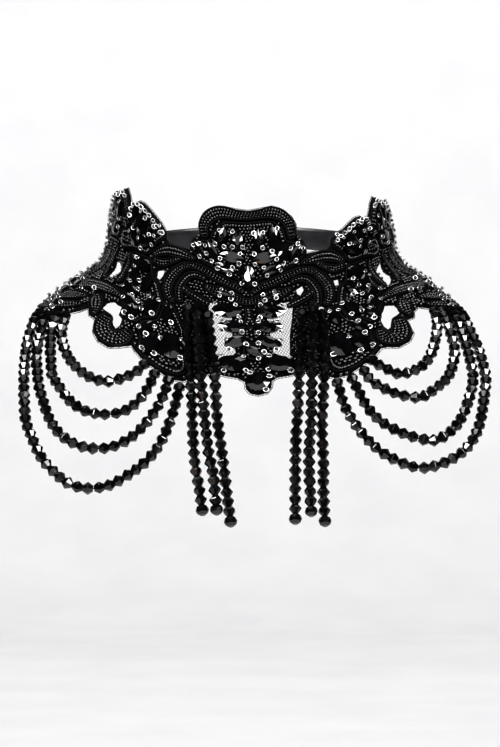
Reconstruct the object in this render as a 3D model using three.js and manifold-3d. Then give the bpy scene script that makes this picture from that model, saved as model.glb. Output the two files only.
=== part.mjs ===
// A black beaded lace choker with a deep front collar, bead swags over the shoulders and bead fringes.
//
// Units are millimetres, +Z is up, the front of the neck is towards -Y and +X is to the right of someone
// who looks at the front. The origin is on the axis of the neck, at the height of the front neck line.
//
// The lace is drawn flat and then worn. The flat drawing has u along the neck line, v up, and h out
// from the skin. wear() moves the drawing to where it sits on the neck, and form() wraps it round a
// neck that flares out into the shoulders. Most motifs are mirrored on the right half. It was sewn by
// hand, so the edges, some motifs and all the strands have a table of their own on each side.
//
// Layers, from the skin outwards: the net ground, the beaded scrolls and clusters sewn on it, and the
// bead strands, which are sewn to its edge. Each layer keeps a small gap to the one below.
import * as THREE from 'three';
import { ConvexGeometry } from 'three/addons/geometries/ConvexGeometry.js';
import { mergeVertices } from 'three/addons/utils/BufferGeometryUtils.js';
import Module from 'manifold-3d';

const wasm = await Module();
wasm.setup();

// ---- driving dimensions -------------------------------------------------------------------------

// The neck and shoulders that the choker is shaped to, each as [front, side, back].
const FORM = {
  arcRadius: 70,                       // turns a length along the neck line into an angle
  neckRadius: [66, 71.7, 66],          // at the neck line
  neckLean: [6, 8.5, 8],               // degrees that the neck closes in above the neck line
  shoulderSlope: [28, 58, 35],         // degrees from upright, below the flare
  neckLineHeight: [8, 30, 38],
  flareLength: 18,                     // length of the curve from neck to shoulder
};

// How the lace sits off centre: to one side at the neck and to the other at the drop.
const WORN = {
  neckSway: -1.4,
  dropSway: 3.0,
  swayTop: -12,
  swayBottom: -55,
  tilt: 0.0125,
  crownTilt: 0.07,
  fanDroop: 3.8,                       // how far the right front fan hangs down at its top
};

const NET = { bottom: 0, top: 1.0 };             // net ground with its backing
const SCROLL = { bottom: 1.55, top: 3.4 };        // bead-filled scrolls and leaves with corded edges
const PLATE = { bottom: 1.55, top: 2.8 };         // the bead bed under a cluster of stones
const STONE = { base: 1.55, table: 5.3, tableScale: 0.68 };

// Sheets are cut from a grid of flat faces, finest where the neck curves out into the shoulder.
const GRID = {
  halfWidth: 117,
  columns: 26,
  rows: [-66, -56, -46, -36, -28, -21.5, -17, -12.5, -8, -3.5, 2, 11, 20, 30, 40],
};

const BEAD = { radius: 2.95, pitch: 5.2, hole: 0.9, sides: 5 };    // faceted bicone beads

const RIBBON = { bottom: -0.2, top: 1.4, halfWidth: 6, front: 114.1, back: 215.2, segments: 14 };
const CLASP = { length: 8.6, width: 11, bottom: -0.6, top: 2.2 };

const BLACK = { net: 0x1c1b1d, bead: 0x0b0b0c, stone: 0x08080a, strand: 0x0a0a0b, ribbon: 0x121113 };

// ---- the neck and shoulder form -----------------------------------------------------------------

const radians = THREE.MathUtils.degToRad;
const clamp = THREE.MathUtils.clamp;

function aroundNeck(angle, [front, side, back]) {
  const sideways = Math.sin(angle) ** 2;
  const along = Math.cos(angle) >= 0 ? front : back;
  return along * (1 - sideways) + side * sideways;
}

// A point of the form, s along the neck line from the front and t up (below the neck line t is negative).
function form(s, t) {
  const angle = s / FORM.arcRadius;
  const lean = radians(aroundNeck(angle, FORM.neckLean));
  const slope = radians(aroundNeck(angle, FORM.shoulderSlope));
  const bend = FORM.flareLength / (slope - lean);
  let radius = aroundNeck(angle, FORM.neckRadius);
  let height = aroundNeck(angle, FORM.neckLineHeight);
  if (t >= 0) {
    radius -= t * Math.sin(lean);
    height += t * Math.cos(lean);
  } else {
    const turned = clamp(-t / FORM.flareLength, 0, 1) * (slope - lean) + lean;
    const beyond = Math.max(-t - FORM.flareLength, 0);
    radius += bend * (Math.cos(lean) - Math.cos(turned)) + beyond * Math.sin(slope);
    height -= bend * (Math.sin(turned) - Math.sin(lean)) + beyond * Math.cos(slope);
  }
  return new THREE.Vector3(radius * Math.sin(angle), -radius * Math.cos(angle), height);
}

function outward(s, t) {
  const step = 0.01;
  const along = form(s + step, t).sub(form(s - step, t));
  const up = form(s, t + step).sub(form(s, t - step));
  return along.cross(up).normalize();
}

function onForm(s, t, h) {
  return form(s, t).addScaledVector(outward(s, t), h);
}

// Where a point of the flat drawing sits on the form, as [s, t].
function wear(u, v) {
  const low = clamp((v - WORN.swayTop) / (WORN.swayBottom - WORN.swayTop), 0, 1);
  const high = clamp((v + 30) / 30, 0, 1);
  const crown = WORN.crownTilt * u * Math.exp(-((u / 35) ** 2)) * clamp((v - 10) / 18, 0, 1);
  const fan = clamp((u - 44) / 10, 0, 1) * clamp((80 - u) / 8, 0, 1) * clamp((v - 6) / 16, 0, 1);
  const s = u + WORN.neckSway * (1 - low) + WORN.dropSway * low;
  return [s, v - WORN.tilt * u * (1 + high) + crown - WORN.fanDroop * fan];
}

// ---- making flat pieces and wrapping them -------------------------------------------------------

function barePositions(geometry) {
  const bare = geometry.clone();
  for (const name of Object.keys(bare.attributes)) {
    if (name !== 'position') bare.deleteAttribute(name);
  }
  return bare;
}

function moveEach(geometry, move) {
  const position = geometry.attributes.position;
  for (let i = 0; i < position.count; i += 1) {
    const p = move(position.getX(i), position.getY(i), position.getZ(i));
    position.setXYZ(i, p.x, p.y, p.z);
  }
  return geometry;
}

function worn(u, v, h) {
  const [s, t] = wear(u, v);
  return onForm(s, t, h);
}

// A sheet of the given outline, with openings, wrapped round the form. It is cut out of a gridded slab,
// which is held over a shallow dome meanwhile so that the cut keeps the grid.
function wrappedSheet(outline, layer, openings = []) {
  const { halfWidth, columns, rows } = GRID;
  const dome = (u, v) => (u * u + v * v) / 2000;
  const lines = rows.length - 1;
  const middle = (layer.top + layer.bottom) / 2;
  const slab = new THREE.BoxGeometry(2 * halfWidth, lines, layer.top - layer.bottom, columns, lines, 1);
  moveEach(slab, (u, y, h) => {
    const v = rows[Math.round(y + lines / 2)];
    return new THREE.Vector3(u, v, h + middle + dome(u, v));
  });
  const corners = (points) => points.map(([u, v]) => new THREE.Vector2(u, v));
  const shape = new THREE.Shape(corners(outline));
  shape.holes = openings.map((opening) => new THREE.Path(corners(opening)));
  const cutter = new THREE.ExtrudeGeometry(shape, { depth: 80, bevelEnabled: false });
  cutter.translate(0, 0, -40);
  const cut = toSolid(barePositions(slab)).intersect(toSolid(barePositions(cutter)));
  return moveEach(toGeometry(cut), (u, v, h) => worn(u, v, h - dome(u, v)));
}

const mirrored = (points) => points.map(([u, v, ...rest]) => [-u, v, ...rest]).reverse();
const bothHalves = (points) => [...points, ...mirrored(points).slice(1)];

// A scroll: a strip along a smooth centre line of [u, v, width] points, with blunt rounded ends.
function wrappedScroll(rows, layer) {
  const points = rows.map((row) => new THREE.Vector3(...row));
  const curve = new THREE.CatmullRomCurve3(points, false, 'catmullrom', 0.5);
  const samples = curve.getPoints(2 * (rows.length - 1));
  const directions = samples.map((q, i) => {
    const before = samples[Math.max(i - 1, 0)];
    const after = samples[Math.min(i + 1, samples.length - 1)];
    return new THREE.Vector2(after.x - before.x, after.y - before.y).normalize();
  });
  const tip = (i, sign) => ({
    centre: new THREE.Vector2(samples.at(i).x, samples.at(i).y)
      .addScaledVector(directions.at(i), 0.4 * sign * samples.at(i).z),
    direction: directions.at(i),
    width: 0.56 * samples.at(i).z,
  });
  const body = samples.map((q, i) => ({
    centre: new THREE.Vector2(q.x, q.y),
    direction: directions[i],
    width: q.z,
  }));
  const sections = [tip(0, -1), ...body, tip(-1, 1)];
  const last = sections.length - 1;
  const strip = new THREE.BoxGeometry(last, 1, layer.top - layer.bottom, last, 1, 1);
  return moveEach(barePositions(strip), (x, y, z) => {
    const { centre, direction, width } = sections[Math.round(x + last / 2)];
    const u = centre.x - y * width * direction.y;
    const v = centre.y + y * width * direction.x;
    return worn(u, v, z + (layer.top + layer.bottom) / 2);
  });
}

// Outline of a stone about its own centre: pointed for a navette, round for an oval.
function stoneOutline(shape, length, width) {
  const corners = shape === 'oval'
    ? [22.5, 67.5, 112.5, 157.5, 202.5, 247.5, 292.5, 337.5].map((a) => [
      0.52 * length * Math.cos(radians(a)), 0.52 * width * Math.sin(radians(a))])
    : [[0.5, 0], [0.2, 0.5], [-0.2, 0.5], [-0.5, 0], [-0.2, -0.5], [0.2, -0.5]].map(
      ([a, b]) => [a * length, b * width]);
  return corners;
}

// A faceted stone that closes in from its base to a flat table.
function flatStone({ shape, u, v, turn, length, width }) {
  const rise = [[STONE.base, 1], [STONE.table, STONE.tableScale]];
  const c = Math.cos(radians(turn));
  const s = Math.sin(radians(turn));
  const corners = stoneOutline(shape, length, width).flatMap(([a, b]) => rise.map(([h, k]) => (
    new THREE.Vector3(u + k * (a * c - b * s), v + k * (a * s + b * c), h))));
  return barePositions(new ConvexGeometry(corners));
}

function wrappedStone(row) {
  return moveEach(flatStone(row), worn);
}

// ---- joining with manifold ----------------------------------------------------------------------

function toSolid(geometry) {
  const merged = mergeVertices(geometry, 1e-4);
  return new wasm.Manifold(new wasm.Mesh({
    numProp: 3,
    vertProperties: new Float32Array(merged.attributes.position.array),
    triVerts: new Uint32Array(merged.index.array),
  }));
}

function toGeometry(solid) {
  const mesh = solid.getMesh();
  const geometry = new THREE.BufferGeometry();
  geometry.setAttribute('position', new THREE.BufferAttribute(mesh.vertProperties, 3));
  geometry.setIndex(new THREE.BufferAttribute(mesh.triVerts, 1));
  return geometry;
}

// Stones are fixed in their bed of beads, so a cluster is one solid.
function cluster(sheet, stones) {
  const parts = stones.map((row) => toSolid(wrappedStone(row)));
  return toGeometry(parts.reduce((all, stone) => all.add(stone), toSolid(sheet)));
}

// ---- the object ---------------------------------------------------------------------------------

const choker = new THREE.Group();

function addPiece(name, geometry, colour, roughness) {
  const material = new THREE.MeshStandardMaterial({ color: colour, roughness, metalness: 0 });
  const mesh = new THREE.Mesh(geometry, material);
  mesh.name = name;
  choker.add(mesh);
}

const SIDES = [['left', (rows) => rows], ['right', mirrored]];

const mirroredStone = (row) => ({ ...row, u: -row.u, turn: 180 - row.turn });

// Rows of stones: shape, place (u, v), turn in degrees from the u axis, length and width.
function stones(...rows) {
  return rows.map(([shape, u, v, turn, length, width]) => ({ shape, u, v, turn, length, width }));
}

const bothSides = (rows) => [...rows, ...rows.map(mirroredStone)];

// ---- net ground ---------------------------------------------------------------------------------
// Its edge follows the motifs. On the left, from the top of the centre line down: crown, top leaf, front
// fan, peak, side fan, shoulder, teardrop, hook, lower cluster, fringe, and the drop at the centre. On
// the right the same from the bottom up.
const NET_EDGE_LEFT = [
  [0, 37.3], [-8, 38.3], [-14, 39], [-20.8, 36.6], [-26.2, 31.8], [-27.9, 27], [-27.4, 22.4],
  [-31.4, 18.2], [-32.4, 12.6], [-38, 12.6], [-44, 12.2], [-45.8, 13.6], [-46.4, 17.2], [-50, 20.6],
  [-54.5, 23.1], [-59.6, 25.3], [-64.2, 26.8], [-68.6, 26.6], [-72.4, 24.4], [-76, 23.2], [-79.4, 27],
  [-83.4, 30], [-87.2, 28.6], [-90.6, 28.2], [-96, 25.6], [-101.2, 22.2], [-104, 18], [-109, 14],
  [-113.8, 7], [-113.8, -17], [-112.4, -27], [-111.6, -38], [-107.6, -47], [-102.4, -55], [-96.6, -56.8],
  [-87.4, -52.2], [-80.6, -48.2], [-76.4, -43.6], [-74.4, -40.2], [-71.8, -43.6], [-68.6, -44], [-67, -46],
  [-66, -51], [-62, -55], [-57, -55.8], [-52.8, -52.6], [-49.6, -49.8], [-47.8, -52], [-43.4, -55.8],
  [-38.6, -57.8], [-33, -60.6], [-28, -59.8], [-23, -55.4], [-17.4, -51.8], [-12.6, -52.6], [-8, -53.4],
  [-7, -57.6], [-5.2, -61.4], [0, -63],
];
const NET_EDGE_RIGHT = [
  [4.8, -61.6], [6.4, -58], [7.4, -53.8], [12.6, -53], [17.4, -52], [23, -55.4], [28, -59.8], [33, -60.6],
  [38.6, -57.8], [43.4, -55.8], [47.8, -52.4], [49.4, -53], [53, -55.8], [58, -55.2], [62, -51.6],
  [63.6, -45.6], [64.6, -43.4], [68, -43.6], [70.6, -40.4], [74.4, -39.2], [76, -41], [80.6, -46.2],
  [86, -50.4], [91, -52.6], [95.2, -50], [100, -43.4], [104.8, -35.4], [108.6, -27], [112, -17],
  [113.8, -9], [113.8, 7], [109, 14], [104, 18], [101.2, 22.2], [96, 25.6], [90.6, 28.2], [87.2, 28.6],
  [83.4, 30], [79.4, 27], [76, 23.2], [72.4, 24.4], [68.6, 26.6], [64.2, 26.8], [59.6, 25.3], [54.5, 23.1],
  [50, 20.6], [46.4, 17.2], [45.8, 13.6], [44, 12.2], [38, 12.6], [32.4, 12.6], [31.4, 18.2], [27.2, 22.4],
  [27.2, 27], [24.8, 31.4], [19.8, 35.6], [13.4, 38.5], [8, 38.1],
];

// Openings in the net between the motifs: beside the inner window leaf, inside the hook, and three
// small ones beside the scrolls.
const NET_WINDOWS = [
  [
    [-79, -8.6], [-75.6, -10], [-74.4, -12.6], [-75.6, -15.4], [-76.9, -17.6], [-79, -18.4], [-81, -17.2],
    [-80.6, -15.4], [-80.2, -13], [-81, -10.8], [-82.2, -8.8],
  ],
  [
    [-66.4, -30.8], [-64.6, -30], [-62.8, -30.8], [-60.4, -30.8], [-59.8, -33], [-59.6, -35.8],
    [-57.4, -37.2], [-57, -39.4], [-57, -42], [-57.8, -43.8], [-59.6, -42.4], [-61.6, -39], [-64.2, -37],
    [-66.6, -36.6], [-68.2, -36.2], [-67.8, -32.6],
  ],
  [
    [79.8, -7.4], [79, -10.4], [80, -12.8], [81.2, -14.2], [78.8, -16.8], [75.4, -18.8], [73.2, -19.4],
    [73.2, -18], [74.2, -14.8], [74.2, -11.6], [74, -8.8], [76.2, -7], [78.8, -5.8], [80.8, -4.6],
  ],
  [
    [64, -30.8], [65.8, -32], [65.6, -34], [64.6, -37.2], [62, -38], [58.4, -40], [56.2, -43],
    [54.8, -43.4], [54.4, -41], [55, -37.8], [56.2, -34.8], [59.2, -32.6], [62, -30],
  ],
  [
    [-45.4, -2.2], [-46.5, -5.8], [-47.8, -8.2], [-49.8, -7.8], [-50, -4.4],
  ],
  [
    [48.8, -5.4], [48.6, -8.4], [46.4, -8.2], [46, -5.2],
  ],
  [
    [28.6, -3.8], [29.2, -6], [27, -8.6], [25.6, -7.4], [25.2, -5.2],
  ],
];

function makeNetGround() {
  const edge = [...NET_EDGE_LEFT, ...NET_EDGE_RIGHT];
  addPiece('net_ground', wrappedSheet(edge, NET, NET_WINDOWS), BLACK.net, 0.8);
}

// ---- beaded scrolls and leaves ------------------------------------------------------------------
// Each row is a point of the centre line and the width there: u, v, width.
const CROWN_ARCH = [
  [-23.7, 22.8, 4.4], [-24.5, 26.6, 5.5], [-21.8, 31.8, 6.5], [-16.6, 35.1, 6.5], [-11, 35.4, 5.9],
  [-5.4, 34.5, 4.9], [0.6, 34.3, 4.6], [6.6, 34.7, 4.9], [12, 35, 6.1], [17.3, 33.3, 5.9],
  [21.2, 29.8, 5.5], [23.2, 25.8, 5.3], [23.5, 22.4, 4.4],
];

// A motif is one band or two that grow together.
const SCROLLS = {
  top_leaf: [
    [
      [-51.6, 4, 3.3], [-48.2, 6.4, 4.9], [-43.2, 8.4, 5.7], [-37.4, 9, 5.6], [-32.8, 8.6, 4.1],
      [-29, 8.2, 2.1],
    ],
    [[-51, 0.8, 3.9], [-46.6, 0.9, 4.3], [-42, 3.1, 3.3], [-36.8, 6.2, 2.1]],
  ],
  c_scroll: [
    [
      [-38.4, -17, 3.5], [-40.8, -14.6, 4.5], [-42.1, -10.6, 4.9], [-41.2, -5.6, 4.9], [-38, -0.6, 4.3],
      [-33.6, 3.2, 3.5], [-28, 4.5, 3.2], [-22.8, 3.6, 3.7], [-17.4, 1.8, 4.3], [-11.8, -0.3, 4.3],
      [-6.6, -1.9, 3.9], [-3.1, -4.4, 2.7],
    ],
  ],
  inner_curl: [
    [
      [-34.6, -15.4, 3.9], [-35.6, -9.8, 3.9], [-34, -4.8, 3.8], [-30.8, -1, 3.5], [-26.8, 0.4, 3.2],
      [-23.4, -0.4, 2.7],
    ],
    [[-33, -8.8, 3.1], [-27.8, -11.1, 3.9], [-24.1, -12.4, 3.9], [-20.6, -13.6, 3.1]],
  ],
  hook_scroll_left: [
    [
      [-62.8, -40.8, 5.5], [-63, -44.9, 7.1], [-60.7, -49, 7.7], [-56.9, -49.8, 7.5], [-53.6, -47.7, 6.5],
      [-52, -44.4, 4.9],
    ],
  ],
  hook_scroll_right: [
    [
      [60.4, -41.8, 5.7], [59.4, -45.6, 6.5], [56.9, -49.1, 6.5], [53.3, -49.3, 5.7], [50.9, -46.6, 4.7],
      [50.8, -43.6, 3.5],
    ],
  ],
  teardrop_left: [
    [
      [-74.8, -31.8, 3.7], [-73.4, -33.6, 6.7], [-71.6, -36.4, 7.5], [-69.9, -39.6, 4.5],
      [-69.1, -42, 1.9],
    ],
  ],
  teardrop_right: [
    [[70.4, -31.4, 3.7], [68.8, -34.5, 6.7], [67.5, -37.7, 6.1], [67.1, -40.6, 3.7]],
  ],
  shoulder_leaf_upper: [
    [[-63.8, -25.8, 2.5], [-70, -25.2, 5.3], [-79, -26, 6.7], [-89, -28.4, 7.1], [-98.6, -32.2, 5.3]],
  ],
  shoulder_leaf_middle_left: [
    [[-80.4, -34.8, 3.3], [-84.8, -36.6, 5.7], [-91, -39.4, 7.1], [-99, -43, 6.3], [-105, -45.6, 3.7]],
  ],
  shoulder_leaf_middle_right: [
    [[96.8, -41.6, 4.3], [91, -39.4, 6.5], [84.8, -36.6, 5.7], [80.4, -34.8, 3.3]],
  ],
  shoulder_leaf_lower_left: [
    [
      [-78.8, -40.4, 2.7], [-82.4, -42.8, 4.9], [-88.5, -46.8, 5.9], [-95, -50.2, 5.1],
      [-100.5, -52.8, 3.3],
    ],
  ],
  shoulder_leaf_lower_right: [
    [[92.6, -48.4, 3.7], [88, -46, 5.3], [82.4, -42.8, 4.9], [78.8, -40.4, 2.7]],
  ],
  window_leaf_outer: [
    [[-82.6, -1.6, 2.7], [-85.4, -7.6, 4.7], [-84.6, -14, 4.5], [-80.8, -19.8, 2.9]],
  ],
  window_leaf_inner: [
    [[-70.2, -2, 2.3], [-69.6, -6.6, 3.3], [-70.2, -12.5, 3.7], [-70.4, -18.4, 2.9]],
  ],
  peak_leaf: [
    [[-74.6, 13.6, 2.9], [-77.8, 18.8, 4.3], [-81, 24, 4.9], [-83.5, 27.3, 3.5]],
  ],
  edge_leaf: [
    [[-91.6, 0, 2.7], [-92.6, -6.4, 5.3], [-93.8, -14.4, 5.7], [-96.4, -21.6, 3.3]],
  ],
};

function scroll(bands) {
  const [strip, ...others] = bands.map((rows) => wrappedScroll(rows, SCROLL));
  if (others.length === 0) return strip;
  return toGeometry(others.reduce((all, other) => all.add(toSolid(other)), toSolid(strip)));
}

// Motifs named for one side are as drawn, and the others are made on both sides.
function makeScrolls() {
  addPiece('crown_arch', wrappedScroll(CROWN_ARCH, SCROLL), BLACK.bead, 0.35);
  for (const [name, bands] of Object.entries(SCROLLS)) {
    if (/_(left|right)$/.test(name)) {
      addPiece(name, scroll(bands), BLACK.bead, 0.35);
    } else {
      for (const [side, toSide] of SIDES) {
        addPiece(`${name}_${side}`, scroll(bands.map(toSide)), BLACK.bead, 0.35);
      }
    }
  }
}

// The V-shaped leaf under the centre oval carries one small navette on each arm.
function makeVLeaf() {
  const half = [
    [-21, -4.6, 2.6], [-17.4, -6, 5], [-12.4, -6.6, 6.6],
    [-7, -8.2, 5.2], [-2.6, -9.7, 4.2], [0, -10.4, 3.7],
  ];
  const small = stones(['navette', -11.4, -7.2, -12, 9, 3.8]);
  const sheet = wrappedScroll(bothHalves(half), SCROLL);
  addPiece('v_leaf', cluster(sheet, bothSides(small)), BLACK.bead, 0.35);
}

// ---- clusters of stones on a bed of beads -------------------------------------------------------
function makeCrownCluster() {
  const bed = [
    [0, 30.8], [-8, 31], [-13, 30.5], [-16.2, 28.1], [-19.3, 24.8], [-20.4, 20.6], [-24, 19], [-28.4, 18],
    [-31, 14.8], [-29.8, 11.4], [-26.6, 9.2], [-24, 7.4], [-19.6, 6], [-14.6, 4.4], [-9.8, 2.8],
    [-5.6, 1.2], [-3, -1.4], [0, -3],
  ];
  const half = stones(
    ['navette', -5.5, 21.4, 90, 11.5, 5.4],
    ['navette', -13.9, 22, 78, 11.5, 5.2],
    ['navette', -18.6, 13.8, 118, 11.5, 5],
    ['navette', -25.5, 13.5, 130, 9, 4.4],
    ['navette', -8.4, 12.6, -6, 13, 5.6],
    ['navette', -12.3, 6.6, -16, 10.5, 4.4],
  );
  const middle = stones(['oval', 0, 3.3, 90, 11, 7.4]);
  const sheet = wrappedSheet(bothHalves(bed), PLATE);
  addPiece('crown_cluster', cluster(sheet, [...bothSides(half), ...middle]), BLACK.stone, 0.15);
}

// The short stones down the middle, on a narrow spine of cord and beads. Their sizes take in the row
// of beads round each stone.
function makeSpineCluster() {
  const bed = [
    [0, -13.2], [-1.6, -13.3], [-2, -19], [-3.6, -24], [-3.8, -30], [-4.4, -36], [-4.6, -40],
    [-3.2, -42.2], [0, -43.6],
  ];
  const half = stones(
    ['navette', -8.5, -25.2, 0, 14.6, 7.6],
    ['navette', -7.3, -33.6, 26, 13, 7],
  );
  const middle = stones(['navette', 0.4, -39, -40, 9, 4.6]);
  const sheet = wrappedSheet(bothHalves(bed), PLATE);
  addPiece('spine_cluster', cluster(sheet, [...bothSides(half), ...middle]), BLACK.stone, 0.15);
}

const CLUSTERS = {
  front_fan: {
    bed: [
      [-46.4, 13.6], [-47, 16.8], [-50.4, 20], [-54.7, 22.5], [-59.8, 24.7], [-64.2, 26.2], [-68.4, 26],
      [-71.8, 23.8], [-72.8, 19], [-71.6, 14.8], [-71.8, 11.8], [-74.6, 10.6], [-78, 9.8], [-80.2, 7.4],
      [-80.4, 3], [-78.6, 0.4], [-75, -0.6], [-71.6, 0.4], [-66, 1.4], [-60, 1.4], [-56.4, 1.8],
      [-54.6, 3.4], [-52.6, 7.2], [-49.4, 10.4],
    ],
    stones: stones(
      ['navette', -68.9, 20.4, 78, 8.5, 4.2],
      ['navette', -64.2, 17, 60, 12, 5.2],
      ['navette', -58, 15.4, 48, 13, 5.6],
      ['navette', -58.6, 8, 28, 12.5, 5.8],
      ['navette', -51, 15.8, 34, 7.6, 3.6],
      ['navette', -67.6, 8, -52, 9.5, 4.2],
    ),
  },
  side_cluster: {
    bed: [
      [-67.6, 0.4], [-60, 0.5], [-56, 0.7], [-54, -0.4], [-52.8, -3.2], [-51, -8.8], [-47.2, -10.8],
      [-45.4, -14.2], [-43.2, -18.6], [-42.8, -24], [-43.6, -30], [-48.4, -33], [-50.6, -36.4],
      [-54.6, -37.2], [-57, -34.2], [-58, -30.6], [-61.9, -28.4], [-61.8, -23.9], [-65, -22.2],
      [-66.8, -18], [-67.3, -12], [-67, -6], [-68, -1.6],
    ],
    stones: stones(
      ['navette', -59.4, -4.8, -6, 12, 6],
      ['navette', -61.6, -12, -52, 11, 5],
      ['navette', -60.2, -20, -24, 11, 5],
      ['navette', -53, -13.6, 80, 11, 5],
      ['navette', -47.4, -24.6, 84, 12, 5.4],
      ['navette', -57.2, -26, -24, 9, 4.6],
      ['navette', -53.8, -32.4, 72, 8.5, 4.4],
    ),
  },
  lower_cluster: {
    bed: [
      [-42.2, -20.8], [-39.8, -20.2], [-37.2, -19.6], [-35.4, -22.2], [-31.8, -27.4], [-29.4, -32],
      [-28.4, -39], [-27.6, -46], [-27, -53], [-30, -57.6], [-36.4, -57.4], [-43.2, -54], [-47, -50.8],
      [-47, -45.4], [-48.6, -40.4], [-49.2, -37.2], [-47.9, -33.8], [-43, -31], [-41.8, -24],
    ],
    stones: stones(
      ['navette', -38.4, -27, 98, 10, 4.4],
      ['navette', -45.6, -37.4, 66, 8.6, 4.2],
      ['navette', -42, -45.4, 84, 12.5, 5.6],
      ['oval', -34.4, -43.4, 92, 14, 9],
    ),
  },
  back_fan_left: {
    bed: [
      [-81.4, 9.6], [-81.2, 15.2], [-83.6, 19.6], [-87, 25.8], [-90.8, 27.4], [-95.4, 25], [-100.4, 21.4],
      [-103.4, 17], [-108, 13.4], [-112.4, 6], [-112.6, -6], [-112.2, -16], [-111.4, -26], [-110, -36],
      [-107.4, -39.6], [-104.6, -37], [-102.6, -31], [-101, -22], [-99.4, -11], [-98, -2], [-97, 2.6],
      [-91.2, 3.2], [-85.2, 2.8], [-82, 4.6],
    ],
    stones: stones(
      ['navette', -97.2, 16.8, 118, 10, 5],
      ['navette', -91, 20.2, 96, 11, 5],
      ['navette', -85.8, 17, 76, 10, 5],
      ['navette', -88, 8.6, 30, 10, 4.8],
      ['navette', -103.6, 6.4, 66, 10.5, 5],
      ['navette', -106, -6, 88, 10, 5],
      ['navette', -106.4, -19, 90, 10, 5],
      ['navette', -106.8, -31, 84, 9, 4.8],
    ),
  },
  back_fan_right: {
    bed: [
      [82, 4.6], [85.2, 2.8], [91.2, 3.2], [97, 2.6], [98, -2], [98.4, -10], [99.2, -18], [100.2, -26],
      [102, -30.4], [103.4, -32], [104.9, -30.8], [107.2, -26], [110.6, -16], [112.4, -6], [112.2, 6],
      [108, 13.4], [103.4, 17], [100.4, 21.4], [95.4, 25], [90.8, 27.4], [87, 25.8], [83.6, 19.6],
      [81.2, 15.2], [81.4, 9.6],
    ],
    stones: stones(
      ['navette', 97.2, 16.8, 62, 10, 5],
      ['navette', 91, 20.2, 84, 11, 5],
      ['navette', 85.8, 17, 104, 10, 5],
      ['navette', 88, 8.6, 150, 10, 4.8],
      ['navette', 103.6, 6.4, 114, 10.5, 5],
      ['navette', 105.8, -6, 92, 10, 5],
      ['navette', 104.6, -18.6, 84, 9.5, 4.8],
      ['navette', 103.4, -27.6, 96, 7, 3.6],
    ),
  },
};

function makeClusters() {
  for (const [name, { bed, stones: rows }] of Object.entries(CLUSTERS)) {
    if (/_(left|right)$/.test(name)) {
      addPiece(name, cluster(wrappedSheet(bed, PLATE), rows), BLACK.stone, 0.15);
    } else {
      for (const [side, toSide] of SIDES) {
        const own = side === 'left' ? rows : rows.map(mirroredStone);
        addPiece(`${name}_${side}`, cluster(wrappedSheet(toSide(bed), PLATE), own), BLACK.stone, 0.15);
      }
    }
  }
}

// ---- large stones in settings of their own ------------------------------------------------------
// Their sizes take in the row of beads round each stone.
function makeLargeStones() {
  const large = {
    row_stone_left: ['navette', -10.6, -16.4, 4, 15.6, 8.2],
    row_stone_right: ['navette', 10.6, -16.4, 176, 15.6, 8.2],
    bottom_stone_left: ['oval', -9.2, -46, 4, 13.2, 9.6],
    bottom_stone_right: ['oval', 9.4, -46.4, 168, 13.2, 9.6],
    drop_stone: ['oval', 0, -55.4, 76, 12.4, 10.4],
  };
  for (const [name, row] of Object.entries(large)) {
    addPiece(name, wrappedStone(stones(row)[0]), BLACK.stone, 0.1);
  }
}

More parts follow.
